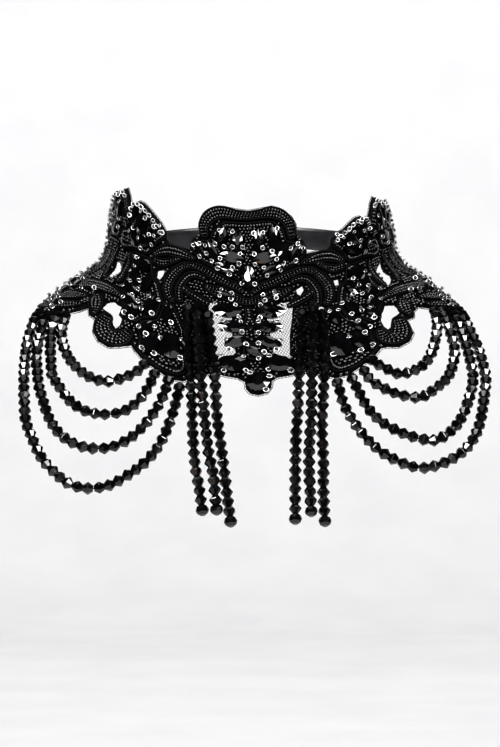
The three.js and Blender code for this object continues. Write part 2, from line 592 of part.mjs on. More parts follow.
// ---- bead strands -------------------------------------------------------------------------------
// The thread of each strand runs through [s, t, h] points on the form. Its ends are sewn to the net.
const STRANDS = {
  swag_1_left: [
    [-76.8, -49, 3.2], [-73.6, -53.8, 4.4], [-69.8, -61.4, 4.4], [-63.3, -69.8, 4.4], [-57.9, -74.3, 4.4],
    [-52.5, -76.3, 4.4], [-47.1, -74.5, 4.4], [-42.6, -67.6, 4.4], [-39.6, -60.6, 4.4],
    [-39.6, -55.6, 2.6],
  ],
  swag_2_left: [
    [-81, -51.2, 3.2], [-77.2, -56.2, 4.4], [-73.6, -62.8, 4.4], [-69.3, -70.7, 4.4], [-65.4, -77.8, 4.4],
    [-62.3, -84.2, 4.4], [-57.9, -88.8, 4.4], [-53.5, -93.1, 4.4], [-48.5, -94.6, 4.4],
    [-43.7, -92.1, 4.4], [-39.2, -86.1, 4.4], [-36.3, -76.3, 4.4], [-35, -65.2, 4.4], [-35.2, -58.6, 2.6],
  ],
  swag_3_left: [
    [-85, -53.2, 2.6], [-80.8, -58.8, 4.4], [-76.8, -65.6, 4.4], [-73.3, -73.4, 4.4], [-69.8, -80.4, 4.4],
    [-66.4, -86.4, 4.4], [-63.4, -92.6, 4.4], [-59.5, -99.4, 4.4], [-55.6, -106.5, 4.4],
    [-51.8, -111.4, 4.4], [-47.5, -113.6, 4.4], [-43, -112.2, 4.4], [-38.6, -107, 4.4], [-35, -98.4, 4.4],
    [-32.4, -87.7, 4.4], [-30.6, -76.7, 4.4], [-29.8, -65.6, 4.4], [-30.2, -59.8, 2.6],
  ],
  swag_4_left: [
    [-89.8, -54.2, 2.6], [-84.6, -61.4, 4.4], [-80, -69.6, 4.4], [-76, -77.2, 4.4], [-72.4, -84, 4.4],
    [-69.2, -90.8, 4.4], [-66.2, -97.6, 4.4], [-63.2, -104.8, 4.4], [-59.8, -113.6, 4.4],
    [-57.2, -118.4, 4.4], [-52.1, -127.6, 4.4], [-48.3, -131.9, 4.4], [-44.4, -134.7, 4.4],
    [-40.4, -133.4, 4.4], [-36.4, -127.9, 4.4], [-33.1, -119.4, 4.4], [-30, -109.9, 4.4],
    [-27.7, -99.5, 4.4], [-26.4, -88, 4.4], [-25.8, -76.8, 4.4], [-25.6, -67.7, 4.4], [-26, -62, 2.6],
  ],
  swag_1_right: [
    [78.6, -45.8, 3.2], [74.4, -52.4, 4.4], [68.9, -60.3, 4.4], [60.5, -70.9, 4.4], [54.9, -73.5, 4.4],
    [49.8, -71.7, 4.4], [46.4, -64.2, 4.4], [44.6, -60.4, 4.4], [45, -56.4, 2.6],
  ],
  swag_2_right: [
    [82.6, -47.6, 2.4], [77.4, -56, 4.4], [73.2, -64.3, 4.4], [70.2, -71.7, 4.4], [66.6, -78.2, 4.4],
    [61.6, -84.9, 4.4], [56.7, -87.6, 4.4], [51.8, -88.7, 4.4], [47.7, -83.7, 4.4], [44.2, -77, 4.4],
    [41.2, -68.7, 4.4], [40.8, -60, 2.6],
  ],
  swag_3_right: [
    [86.4, -50.2, 2.4], [80.8, -58.4, 4.4], [76.8, -66.9, 4.4], [73.4, -75.5, 4.4], [70.2, -84, 4.4],
    [66.8, -92.8, 4.4], [61.4, -102.3, 4.4], [57.7, -108.3, 4.4], [53.9, -112.4, 4.4], [49.4, -113.7, 4.4],
    [45.9, -108.8, 4.4], [42.7, -102, 4.4], [39.5, -93.3, 4.4], [37.4, -83.3, 4.4], [36.5, -71.5, 4.4],
    [36.2, -61.8, 2.6],
  ],
  swag_4_right: [
    [90.2, -52.4, 2.4], [84.2, -60.8, 4.4], [80, -69.4, 4.4], [76.8, -78.2, 4.4], [73.4, -86.8, 4.4],
    [70, -95.6, 4.4], [66.2, -103, 4.4], [62.4, -111.2, 4.4], [59.1, -118, 4.4], [55.5, -123.5, 4.4],
    [51.6, -126.4, 4.4], [46.7, -126.6, 4.4], [42.9, -123.7, 4.4], [39.7, -117, 4.4], [36.8, -109.2, 4.4],
    [34.4, -99.7, 4.4], [32.5, -89.1, 4.4], [31.1, -77.3, 4.4], [31.1, -67.6, 4.4], [31.2, -61.8, 2.6],
  ],
  fringe_outer_left: [
    [-29.4, -19.8, 1.7], [-29, -21.8, 5.6], [-25.6, -42.7, 6.4], [-22.6, -58, 6], [-20.6, -71.1, 5],
    [-18.6, -88.8, 4.4], [-16.6, -105.1, 4.4], [-14.8, -115.9, 4.4], [-12.9, -130.2, 4.4],
  ],
  fringe_middle_left: [
    [-24.4, -18.4, 1.7], [-24.3, -19.8, 5.4], [-24.2, -22, 9.4], [-21, -43.4, 11], [-17.9, -64.6, 10.6],
    [-15.2, -83.4, 9.6], [-13, -99.8, 9], [-11.2, -110.3, 9], [-9.2, -131.2, 9],
  ],
  fringe_inner_left: [
    [-20, -21.4, 1.7], [-19.8, -23, 5.4], [-16.6, -38, 6.4], [-14.4, -52, 6.2], [-13.3, -60, 5.6],
    [-11.7, -75.8, 4.4], [-9.5, -92.3, 4.4], [-7.7, -108.8, 4.4], [-5.2, -134.6, 4.4],
  ],
  fringe_inner_right: [
    [24, -21, 1.7], [23.8, -22.6, 5.6], [21.2, -37, 6.2], [18.4, -56.4, 6], [16.3, -74.9, 4.6],
    [14.5, -90.9, 4.4], [12.9, -114.3, 4.4], [11.9, -134.6, 4.4],
  ],
  fringe_middle_right: [
    [28.3, -18.4, 1.7], [28.2, -19.8, 5.8], [28, -22.2, 11], [25.2, -40.8, 12.2], [22.4, -62, 11.2],
    [20.3, -80.7, 9.8], [18.4, -96, 9.2], [17.2, -110.4, 9], [16.2, -134.2, 9],
  ],
  fringe_outer_right: [
    [32.8, -21.8, 1.7], [32.7, -23, 5.6], [32.4, -25.6, 6.8], [30.1, -41.8, 7.2], [26.6, -63, 6.2],
    [23.2, -85, 4.8], [21.6, -105, 4.4], [20.2, -120, 4.4], [19.2, -138.6, 4.4],
  ],
};

// Beads side by side on one thread: a cylinder whose rings are widened at each bead's waist and
// narrowed at each bead's hole, and set square to the thread.
function beadStrand(rows) {
  const stitches = rows.map((row) => new THREE.Vector3(...row));
  const route = new THREE.CatmullRomCurve3(stitches, false, 'catmullrom', 0.5);
  const samples = route.getPoints(24 * (rows.length - 1)).map((q) => ({
    place: onForm(q.x, q.y, q.z),
    out: outward(q.x, q.y),
  }));
  const lengths = [0];
  for (let i = 1; i < samples.length; i += 1) {
    lengths.push(lengths[i - 1] + samples[i].place.distanceTo(samples[i - 1].place));
  }
  const count = Math.round(lengths.at(-1) / BEAD.pitch);
  const along = (distance) => {
    const found = lengths.findIndex((length) => length >= distance - 1e-6);
    const i = clamp(found, 1, samples.length - 1);
    const k = (distance - lengths[i - 1]) / (lengths[i] - lengths[i - 1]);
    const place = samples[i - 1].place.clone().lerp(samples[i].place, k);
    const forward = samples[i].place.clone().sub(samples[i - 1].place).normalize();
    const across = samples[i].out.clone().cross(forward).normalize();
    return { place, across, out: forward.clone().cross(across) };
  };
  const rings = Array.from({ length: 2 * count + 1 }, (_, i) => (
    { ...along((i / (2 * count)) * lengths.at(-1)), radius: i % 2 ? BEAD.radius : BEAD.hole }));
  const tube = barePositions(new THREE.CylinderGeometry(1, 1, 1, BEAD.sides, 2 * count, false));
  return moveEach(tube, (x, y, z) => {
    const { place, across, out, radius } = rings[Math.round((y + 0.5) * 2 * count)];
    return place.clone().addScaledVector(out, radius * x).addScaledVector(across, radius * z);
  });
}

function makeStrands() {
  for (const [name, rows] of Object.entries(STRANDS)) {
    addPiece(name, beadStrand(rows), BLACK.strand, 0.12);
  }
}

// ---- ribbon and clasp round the back of the neck ------------------------------------------------
const BACK_CENTRE = Math.PI * FORM.arcRadius;

function makeRibbons() {
  const { halfWidth, front, back, bottom, top, segments } = RIBBON;
  for (const [side, sign] of [['left', -1], ['right', 1]]) {
    const start = sign * front + WORN.neckSway;
    const end = sign * back;
    const size = [Math.abs(end - start), 2 * halfWidth, top - bottom];
    const band = new THREE.BoxGeometry(...size, segments, 1, 1);
    band.translate((start + end) / 2, 0, (top + bottom) / 2);
    addPiece(`ribbon_${side}`, moveEach(barePositions(band), onForm), BLACK.ribbon, 0.5);
  }
}

function makeClasp() {
  const { length, width, bottom, top } = CLASP;
  const block = new THREE.BoxGeometry(length, width, top - bottom, 2, 1, 1);
  block.translate(BACK_CENTRE, 0, (top + bottom) / 2);
  addPiece('clasp', moveEach(barePositions(block), onForm), 0x2a2a2c, 0.35);
}

makeNetGround();
makeScrolls();
makeVLeaf();
makeCrownCluster();
makeSpineCluster();
makeClusters();
makeLargeStones();
makeStrands();
makeRibbons();
makeClasp();

export default choker;
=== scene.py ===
import bpy
import numpy as np
from mathutils.geometry import delaunay_2d_cdt
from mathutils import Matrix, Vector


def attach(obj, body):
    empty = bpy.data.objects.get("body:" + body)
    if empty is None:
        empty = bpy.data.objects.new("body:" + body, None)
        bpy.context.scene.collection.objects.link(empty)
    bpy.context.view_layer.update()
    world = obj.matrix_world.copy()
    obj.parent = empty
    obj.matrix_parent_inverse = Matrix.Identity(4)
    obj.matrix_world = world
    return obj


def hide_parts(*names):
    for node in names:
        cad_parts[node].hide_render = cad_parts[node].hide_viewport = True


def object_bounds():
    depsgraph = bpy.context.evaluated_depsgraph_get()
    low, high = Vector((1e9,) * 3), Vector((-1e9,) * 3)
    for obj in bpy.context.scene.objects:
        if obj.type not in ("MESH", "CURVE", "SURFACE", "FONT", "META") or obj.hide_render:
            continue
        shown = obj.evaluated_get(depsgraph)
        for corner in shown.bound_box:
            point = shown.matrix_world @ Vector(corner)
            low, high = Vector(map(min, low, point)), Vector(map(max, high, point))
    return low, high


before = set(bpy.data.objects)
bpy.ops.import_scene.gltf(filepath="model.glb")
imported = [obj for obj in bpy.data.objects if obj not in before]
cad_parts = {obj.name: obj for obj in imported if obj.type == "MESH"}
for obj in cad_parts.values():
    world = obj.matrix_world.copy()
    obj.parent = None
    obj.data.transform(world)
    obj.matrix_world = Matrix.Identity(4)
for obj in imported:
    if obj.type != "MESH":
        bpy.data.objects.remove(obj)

cad_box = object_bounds()

# ---- net ground ----
# Fine black nylon net carries all the beadwork. It is cut close round the motifs, a thin felt backs
# each motif, and the whole is shaped to a neck that flares out into the shoulders.

MM = 0.001

# The neck and shoulders in millimetres and degrees: front, side and back of each.
ARC_RADIUS = 70
NECK_RADIUS = (66, 71.7, 66)
NECK_LEAN = (6, 8.5, 8)
SHOULDER_SLOPE = (28, 58, 35)
NECK_LINE = (8, 30, 38)
FLARE = 18


def around(angle, front, side, back):
    """The front (or back) value times cos^2 of the angle round the neck, plus the side's times sin^2."""
    sideways = np.sin(angle) ** 2
    return np.where(np.cos(angle) >= 0, front, back) * (1 - sideways) + side * sideways


def on_skin(s, t):
    """s mm along the neck line and t mm up: above the line a cone that leans in, and below it an arc
    that turns from the lean to the shoulder's slope over the flare, and then that slope."""
    angle = s / ARC_RADIUS
    lean = np.radians(around(angle, *NECK_LEAN))
    slope = np.radians(around(angle, *SHOULDER_SLOPE))
    bend = FLARE / (slope - lean)
    turned = lean + np.clip(-t / FLARE, 0, 1) * (slope - lean)
    above = np.maximum(t, 0)
    beyond = np.maximum(-t - FLARE, 0)
    radius = around(angle, *NECK_RADIUS) - above * np.sin(lean)
    radius = radius + bend * (np.cos(lean) - np.cos(turned)) + beyond * np.sin(slope)
    height = around(angle, *NECK_LINE) + above * np.cos(lean)
    height = height - bend * (np.sin(turned) - np.sin(lean)) - beyond * np.cos(slope)
    return np.stack([radius * np.sin(angle), -radius * np.cos(angle), height], axis=-1)


def outward(s, t):
    """Unit normal of the skin: the cross product of its slopes along s and t, by small differences."""
    step = 0.01
    along = on_skin(s + step, t) - on_skin(s - step, t)
    up = on_skin(s, t + step) - on_skin(s, t - step)
    normal = np.cross(along, up)
    return normal / np.linalg.norm(normal, axis=-1, keepdims=True)


def on_form(points):
    """Points (s, t, h) in millimetres, h out from the skin, as places in metres."""
    s, t, h = np.moveaxis(np.asarray(points, float), -1, 0)
    return (on_skin(s, t) + h[..., None] * outward(s, t)) * MM


def worn(points):
    """Points (u, v, h) of the flat drawing where they are worn. The lace sits 1.4 mm to one side at
    the neck and 3 mm to the other at the drop, it tilts, most of all at the crown, and its right
    front fan droops by 3.8 mm."""
    u, v, h = np.moveaxis(np.asarray(points, float), -1, 0)
    low = np.clip((v + 12) / -43, 0, 1)
    high = np.clip((v + 30) / 30, 0, 1)
    crown = 0.07 * u * np.exp(-((u / 35) ** 2)) * np.clip((v - 10) / 18, 0, 1)
    s = u - 1.4 * (1 - low) + 3.0 * low
    droop = 3.8 * np.clip((u - 44) / 10, 0, 1) * np.clip((80 - u) / 8, 0, 1) * np.clip((v - 6) / 16, 0, 1)
    t = v - 0.0125 * u * (1 + high) + crown - droop
    return on_form(np.stack([s, t, h], axis=-1))


def mirror(points):
    """The same points on the other half of the drawing, in the opposite order."""
    points = np.array(points, float)[::-1]
    points[:, 0] *= -1
    return points


def evenly(points, step, closed=False, axes=2):
    """Points a step apart along the line, measured on its first axes; other columns follow along."""
    line = np.vstack([points, points[:1]]) if closed else np.asarray(points)
    gone = np.linalg.norm(np.diff(line[:, :axes], axis=0), axis=1)
    gone = np.concatenate([[0], np.cumsum(gone)])
    count = max(2, round(gone[-1] / step))
    at = np.linspace(0, gone[-1], count + 1)
    at = at[:-1] if closed else at
    return np.stack([np.interp(at, gone, column) for column in line.T], axis=-1)


def heading(points, closed=False):
    """Unit direction at each point of a line, from the point before it to the point after."""
    if closed:
        ahead = np.roll(points, -1, axis=0) - np.roll(points, 1, axis=0)
    else:
        ahead = np.gradient(points, axis=0)
    return ahead / np.linalg.norm(ahead, axis=-1, keepdims=True)


def leftward(directions):
    """The direction a quarter turn to the left of each."""
    return np.stack([-directions[:, 1], directions[:, 0]], axis=-1)


def raised_to(points, height):
    """Points of the drawing with a third column: one height for all, or one for each."""
    return np.column_stack([points, np.broadcast_to(height, len(points))])


def tubes(centre, radii, side, up=(0, 0, 1), run=None, closed=False, a=None):
    """Rings centre + r (cos a side + sin a up), one row of radii r each, joined in order along each
    run. Closed runs join their ends, and the others get a flat cap at each end. The angles a are spread
    evenly unless they are given."""
    rings, sides = radii.shape
    a = 2 * np.pi * np.arange(sides) / sides if a is None else a
    side, up = (np.broadcast_to(axis, centre.shape)[:, None] for axis in (side, up))
    points = (radii * np.cos(a))[..., None] * side + (radii * np.sin(a))[..., None] * up
    points = (centre[:, None] + points).reshape(-1, 3)
    ring = np.arange(rings)
    run = np.zeros(rings, int) if run is None else run
    joined = np.ones(rings, bool) if closed else np.append(run[:-1] == run[1:], False)
    first = ring[joined][:, None] * sides
    after = np.roll(ring, -1)[joined][:, None] * sides
    j, k = np.arange(sides), np.roll(np.arange(sides), -1)
    faces = [np.stack([first + j, first + k, after + k, after + j], axis=-1).reshape(-1, 4)]
    if not closed:
        starts = ring[np.append(True, run[:-1] != run[1:])][:, None] * sides
        ends = ring[~joined][:, None] * sides
        faces += [starts + j[::-1], ends + j]
    return points, faces


def laid_round(loop, height, radii):
    """A thread laid flat along a closed loop of the drawing, with its middle at one height."""
    side = raised_to(leftward(heading(loop, closed=True)), 0)
    return tubes(raised_to(loop, height), radii, side, closed=True)


def edges(loops):
    """Where each edge of some closed outlines starts and ends."""
    return np.vstack(loops), np.vstack([np.roll(loop, -1, axis=0) for loop in loops])


def inside(points, *loops):
    """Which points have an odd number of the outlines' edges to one side of them."""
    a, b = edges(loops)
    x, y = points[:, 0, None], points[:, 1, None]
    spans = (a[:, 1] > y) != (b[:, 1] > y)
    rise = np.where(a[:, 1] == b[:, 1], 1, b[:, 1] - a[:, 1])
    crossing = a[:, 0] + (y - a[:, 1]) * (b[:, 0] - a[:, 0]) / rise
    return (spans & (x < crossing)).sum(axis=1) % 2 == 1


def distance(points, *loops):
    """How far each point is from the nearest edge of the outlines."""
    a, b = edges(loops)
    edge = b - a
    reach = points[:, None] - a
    k = np.clip((reach * edge).sum(axis=-1) / (edge**2).sum(axis=-1), 0, 1)
    return np.linalg.norm(reach - k[..., None] * edge, axis=-1).min(axis=1)


def flat_sheet(outline, low, high, holes=()):
    """A flat closed sheet between two heights, triangulated over its outline, its holes (which run
    clockwise) and a grid between them."""
    step = 3.0
    loops = [outline, *holes]
    lo, hi = outline.min(axis=0), outline.max(axis=0)
    grid = np.stack(np.meshgrid(*(np.arange(a, b, step) for a, b in zip(lo, hi))), axis=-1).reshape(-1, 2)
    grid = grid[inside(grid, *loops) & (distance(grid, *loops) > step / 3)]
    corners = np.vstack([*loops, grid])
    ends = np.cumsum([len(loop) for loop in loops])
    rings = [list(range(end - len(loop), end)) for end, loop in zip(ends, loops)]
    made = delaunay_2d_cdt(corners.tolist(), [], rings, 1, 1e-5)
    points = np.array([tuple(p) for p in made[0]])
    over = np.array([f for f in made[2] if len(f) == 3])
    over = over[inside(points[over].mean(axis=1), *loops)]
    count = len(points)
    now = np.full(len(corners), -1)
    for new, old in enumerate(made[3]):
        now[list(old)] = new
    wall = []
    for ring in rings:
        edge = now[ring]
        after = np.roll(edge, -1)
        wall.append(np.stack([edge, after, after + count, edge + count], axis=-1))
    points = np.vstack([raised_to(points, low), raised_to(points, high)])
    return points, [over[:, ::-1], over + count, np.vstack(wall)]


def linear(colour):
    """The linear RGBA of an sRGB hex colour."""
    c = np.array([colour >> 16 & 255, colour >> 8 & 255, colour & 255]) / 255
    c = np.where(c <= 0.04045, c / 12.92, ((c + 0.055) / 1.055) ** 2.4)
    return (*c.tolist(), 1.0)


def add_node(material, kind, inputs=None, **settings):
    """Adds a node with its settings; inputs are values, or outputs of other nodes to link."""
    made = material.node_tree.nodes.new(kind)
    for name, value in settings.items():
        setattr(made, name, value)
    for name, value in (inputs or {}).items():
        if isinstance(value, bpy.types.NodeSocket):
            material.node_tree.links.new(value, made.inputs[name])
        else:
            made.inputs[name].default_value = value
    return made


def mottled(name, patch, colours, roughness, sockets=None, detail=2.0, ends=(0.3, 0.7), bump=None,
            ribs=None):
    """A material that varies with noise over its piece, in patches about patch mm across. Its colour
    goes from the first sRGB hex to the second as the noise goes between the two ends. Roughness is one
    number, or a pair for the noise from 0.3 to 0.7. Bump is the strength and depth in mm of the noise,
    or of level ribs that many mm apart. Sockets are constants, set on the shader itself."""
    material = bpy.data.materials.new(name)
    material.use_nodes = True
    material.node_tree.nodes.clear()
    place = add_node(material, "ShaderNodeTexCoord").outputs["Object"]
    pattern = add_node(material, "ShaderNodeTexNoise", {
        "Vector": place, "Scale": 1 / (patch * MM), "Detail": detail}).outputs["Fac"]
    shade = add_node(material, "ShaderNodeValToRGB", {"Fac": pattern})
    for stop, position, colour in zip(shade.color_ramp.elements, ends, colours):
        stop.position = position
        stop.color = linear(colour)
    inputs = {"Base Color": shade.outputs["Color"], "Roughness": roughness, **(sockets or {})}
    if isinstance(roughness, tuple):
        low, high = roughness
        gloss = add_node(material, "ShaderNodeMapRange", {
            "Value": pattern, "From Min": 0.3, "From Max": 0.7, "To Min": low, "To Max": high})
        inputs["Roughness"] = gloss.outputs["Result"]
    if ribs:
        wave = {"Vector": place, "Scale": np.pi / (10 * ribs * MM), "Distortion": 0.6}
        pattern = add_node(material, "ShaderNodeTexWave", wave, bands_direction="Z").outputs["Fac"]
    if bump:
        raised = add_node(material, "ShaderNodeBump", {
            "Height": pattern, "Strength": bump[0], "Distance": bump[1] * MM})
        inputs["Normal"] = raised.outputs["Normal"]
    shader = add_node(material, "ShaderNodeBsdfPrincipled", inputs)
    add_node(material, "ShaderNodeOutputMaterial", {"Surface": shader.outputs["BSDF"]})
    return material


def make_piece(name, parts, node):
    """Joins parts into one object that stands for a CAD node. Each part is its points in metres, its
    arrays of faces, its material, and whether it is smooth."""
    finishes = list(dict.fromkeys(part[2] for part in parts))
    points, faces, kinds, smooth, start = [], [], [], [], 0
    for own_points, arrays, finish, is_smooth in parts:
        own = [face for some in arrays for face in (some + start).tolist()]
        points.append(own_points)
        faces += own
        kinds += [finishes.index(finish)] * len(own)
        smooth += [is_smooth] * len(own)
        start += len(own_points)
    mesh = bpy.data.meshes.new(name)
    mesh.from_pydata(np.vstack(points).tolist(), [], faces)
    mesh.polygons.foreach_set("material_index", kinds)
    mesh.polygons.foreach_set("use_smooth", smooth)
    for finish in finishes:
        mesh.materials.append(finish)
    mesh.update()
    made = bpy.data.objects.new(name, mesh)
    bpy.context.scene.collection.objects.link(made)
    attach(made, "root")
    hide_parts(node)
    return made


def wear(parts):
    """The same parts where they are worn."""
    return [(worn(points), *rest) for points, *rest in parts]


# Black nylon net thread: semi-matt, with a faint soft gloss along each thread.
NET = mottled("knitted_nylon_net", 4, (0x0a0a0b, 0x141315), (0.45, 0.62),
              {"Specular IOR Level": 0.35, "IOR": 1.53}, ends=(0.35, 0.65))
# Thin black viscose felt: quite matt, with a short nap that mottles it.
FELT = mottled("viscose_felt_backing", 0.7, (0x040404, 0x0c0b0d), 0.92,
               {"Specular IOR Level": 0.08, "Sheen Weight": 0.04, "Sheen Roughness": 0.5},
               detail=4.0, bump=(0.5, 0.15))

# The net's outline is alike on both sides from the crown to the shoulder.
NET_SIDE = np.array([
    (-31.4, 18.2), (-32.4, 12.6), (-38, 12.6), (-44, 12.2), (-45.8, 13.6), (-46.4, 17.2), (-50, 20.6),
    (-54.5, 23.1), (-59.6, 25.3), (-64.2, 26.8), (-68.6, 26.6), (-72.4, 24.4), (-76, 23.2), (-79.4, 27),
    (-83.4, 30), (-87.2, 28.6), (-90.6, 28.2), (-96, 25.6), (-101.2, 22.2), (-104, 18), (-109, 14),
    (-113.8, 7)])
NET_EDGE = np.vstack([
    [(0, 37.3), (-8, 38.3), (-14, 39), (-20.8, 36.6), (-26.2, 31.8), (-27.9, 27), (-27.4, 22.4)], NET_SIDE,
    [(-113.8, -17), (-112.4, -27), (-111.6, -38), (-107.6, -47), (-102.4, -55), (-96.6, -56.8),
     (-87.4, -52.2), (-80.6, -48.2), (-76.4, -43.6), (-74.4, -40.2), (-71.8, -43.6), (-68.6, -44),
     (-67, -46), (-66, -51), (-62, -55), (-57, -55.8), (-52.8, -52.6), (-49.6, -49.8), (-47.8, -52),
     (-43.4, -55.8), (-38.6, -57.8), (-33, -60.6), (-28, -59.8), (-23, -55.4), (-17.4, -51.8),
     (-12.6, -52.6), (-8, -53.2), (-5.6, -54.8), (-5.2, -58.6), (-3.4, -61.4), (0, -62.4), (3.6, -61.2),
     (5.4, -58), (5.8, -54.6), (8, -53.2), (12.6, -53), (17.4, -52), (23, -55.4), (28, -59.8), (33, -60.6),
     (38.6, -57.8), (43.4, -55.8), (47.8, -52.4), (49.4, -53), (53, -55.8), (58, -55.2), (62, -51.6),
     (63.6, -45.6), (64.6, -43.4), (68, -43.6), (70.6, -40.4), (74.4, -39.2), (76, -41), (80.6, -46.2),
     (86, -50.4), (91, -52.6), (95.2, -50), (100, -43.4), (104.8, -35.4), (108.6, -27), (112, -17),
     (113.8, -9)], mirror(NET_SIDE),
    [(27.2, 22.4), (27.2, 27), (24.8, 31.4), (19.8, 35.6), (13.4, 38.5), (8, 38.1)]])
# Openings cut right through the net, clockwise.
NET_WINDOWS = [np.array(window[::-1], float) for window in (
    [(-82.2, -8.8), (-81, -10.8), (-80.2, -13), (-80.6, -15.4), (-81, -17.2), (-79, -18.4), (-76.9, -17.6),
     (-75.6, -15.4), (-74.4, -12.6), (-75.6, -10), (-79, -8.6)],
    [(-67.8, -32.6), (-68.2, -36.2), (-66.6, -36.6), (-64.2, -37), (-61.6, -39), (-59.6, -42.4),
     (-57.8, -43.8), (-57, -42), (-57, -39.4), (-57.4, -37.2), (-59.6, -35.8), (-59.8, -33), (-60.4, -30.8),
     (-62.8, -30.8), (-64.6, -30), (-66.4, -30.8)],
    [(80.8, -4.6), (78.8, -5.8), (76.2, -7), (74, -8.8), (74.2, -11.6), (74.2, -14.8), (73.2, -18),
     (73.2, -19.4), (75.4, -18.8), (78.8, -16.8), (81.2, -14.2), (80, -12.8), (79, -10.4), (79.8, -7.4)],
    [(62, -30), (59.2, -32.6), (56.2, -34.8), (55, -37.8), (54.4, -41), (54.8, -43.4), (56.2, -43),
     (58.4, -40), (62, -38), (64.6, -37.2), (65.6, -34), (65.8, -32), (64, -30.8)],
    [(-50, -4.4), (-49.8, -7.8), (-47.8, -8.2), (-46.5, -5.8), (-45.4, -2.2)],
    [(46, -5.2), (46.4, -8.2), (48.6, -8.4), (48.8, -5.4)],
    [(25.2, -5.2), (25.6, -7.4), (27, -8.6), (29.2, -6), (28.6, -3.8)],
)]
# Open net beside the spine of stones, which the felt lining leaves bare, clockwise.
NET_PANELS = [np.array(panel, float) for panel in (
    [(-20.4, -12.4), (-9.2, -12.8), (-8.4, -20), (-8.8, -30), (-7.6, -38.6), (-9.6, -40.6), (-13.4, -41.2),
     (-15.8, -44), (-16.8, -48), (-17, -39.6), (-17.6, -30), (-18.8, -20.6)],
    [(9.4, -12.8), (20.8, -10.8), (22.6, -12.8), (20.4, -20.4), (17.2, -29.8), (15.2, -39.4), (14.2, -44),
     (11.2, -41), (8.4, -38.6), (8.6, -30), (8.6, -20)],
    [(43, -28.2), (46, -29.8), (45, -33), (42, -39), (40.2, -40.2), (41, -35)],
)]
NET_MESH = 1.12          # distance between threads
NET_THREAD = 0.095       # radius of a thread
NET_SLOPE = 58           # degrees that the threads lean from the horizontal


def net_threads(loops, slope, height):
    """Straight threads at one slope, each cut where its line crosses the edges: along a crossed edge
    from a to b, with their distances from the line da and db, the crossing is at da / (da - db)."""
    direction = np.array([np.cos(np.radians(slope)), np.sin(np.radians(slope))])
    across = np.array([-direction[1], direction[0]])
    a, b = (ends @ np.stack([direction, across], axis=1) for ends in edges(loops))
    lines = np.arange(a[:, 1].min(), a[:, 1].max(), NET_MESH)
    da, db = a[:, 1] - lines[:, None], b[:, 1] - lines[:, None]
    line, side = np.nonzero((da > 0) != (db > 0))
    share = (da / np.where(da == db, 1, da - db))[line, side]
    crossing = a[side, 0] + share * (b[side, 0] - a[side, 0])
    order = np.lexsort((crossing, line))
    start, end = crossing[order[0::2]], crossing[order[1::2]]
    offset = lines[line[order[0::2]]]
    rings = np.maximum(2, np.ceil((end - start) / 3.5).astype(int) + 1)
    run = np.repeat(np.arange(len(rings)), rings)
    share = (np.arange(len(run)) - np.repeat(np.cumsum(rings) - rings, rings)) / (rings[run] - 1)
    along = start[run] + share * (end - start)[run]
    centre = along[:, None] * direction + offset[run][:, None] * across
    radii = np.full((len(centre), 3), NET_THREAD)
    return tubes(raised_to(centre, height), radii, [*across, 0], run=run)


# The felt lining stays half a millimetre inside the net's edge, and a hem thread runs along the edge.
lining = NET_EDGE + 0.5 * leftward(heading(NET_EDGE, closed=True))
net_parts = [(*flat_sheet(lining, 0.7, 1.0, NET_WINDOWS + NET_PANELS), FELT, True)]
net_parts += [(*net_threads([NET_EDGE, *NET_WINDOWS], slope, height), NET, True)
              for slope, height in ((NET_SLOPE, 0.35), (-NET_SLOPE, 0.5))]
hem = evenly(NET_EDGE, 1.0, closed=True)
hem_thread = laid_round(hem, 0.45, np.full((len(hem), 5), 0.12))
net_parts.append((*hem_thread, NET, True))
net = make_piece("net_ground_cloth", wear(net_parts), "net_ground")

# ---- scrolls and leaves ----
# Each scroll is a raised band with a twisted rayon cord couched round its edge and rows of black
# seed beads strung along it between the cords.

CORD = 0.46              # radius of the twisted edging cord
CORD_TURN = 2.4          # length of one full twist
SEED_BEAD = 2.0          # across an 11/0 seed bead
BED = 1.25               # foot of the beadwork, just above the net
PADDING_TOP = 1.95       # top of the felt padding under the beads
BEAD_HEIGHT = 2.45       # middle of the cord and of a scroll's beads
CORD_ROOM = 1.9          # width of a scroll that its two cords take up
ROW_ROOM = 1.75          # width that a scroll needs for each row of beads
ROW_STITCH = 1.62        # from bead to bead along a row

# Black twisted rayon cord: silky plies with a soft low gloss, a dull black line beside the glass.
RAYON = mottled("twisted_rayon_cord", 0.5, (0x040405, 0x0c0b0d), (0.5, 0.64),
                {"Specular IOR Level": 0.11, "IOR": 1.53, "Sheen Weight": 0.02, "Sheen Roughness": 0.35},
                detail=3.0, bump=(0.4, 0.08))
# Opaque black pressed glass: a deep gloss with one small bright highlight on each bead.
SEED_GLASS = mottled("black_seed_bead_glass", 3, (0x050506, 0x0e0e10), (0.08, 0.16),
                     {"Specular IOR Level": 0.8, "IOR": 1.52}, ends=(0.35, 0.65))


def whole(half):
    """A symmetric outline from its left half, whose ends are on the centre line."""
    return np.vstack([half, mirror(half)[1:]])


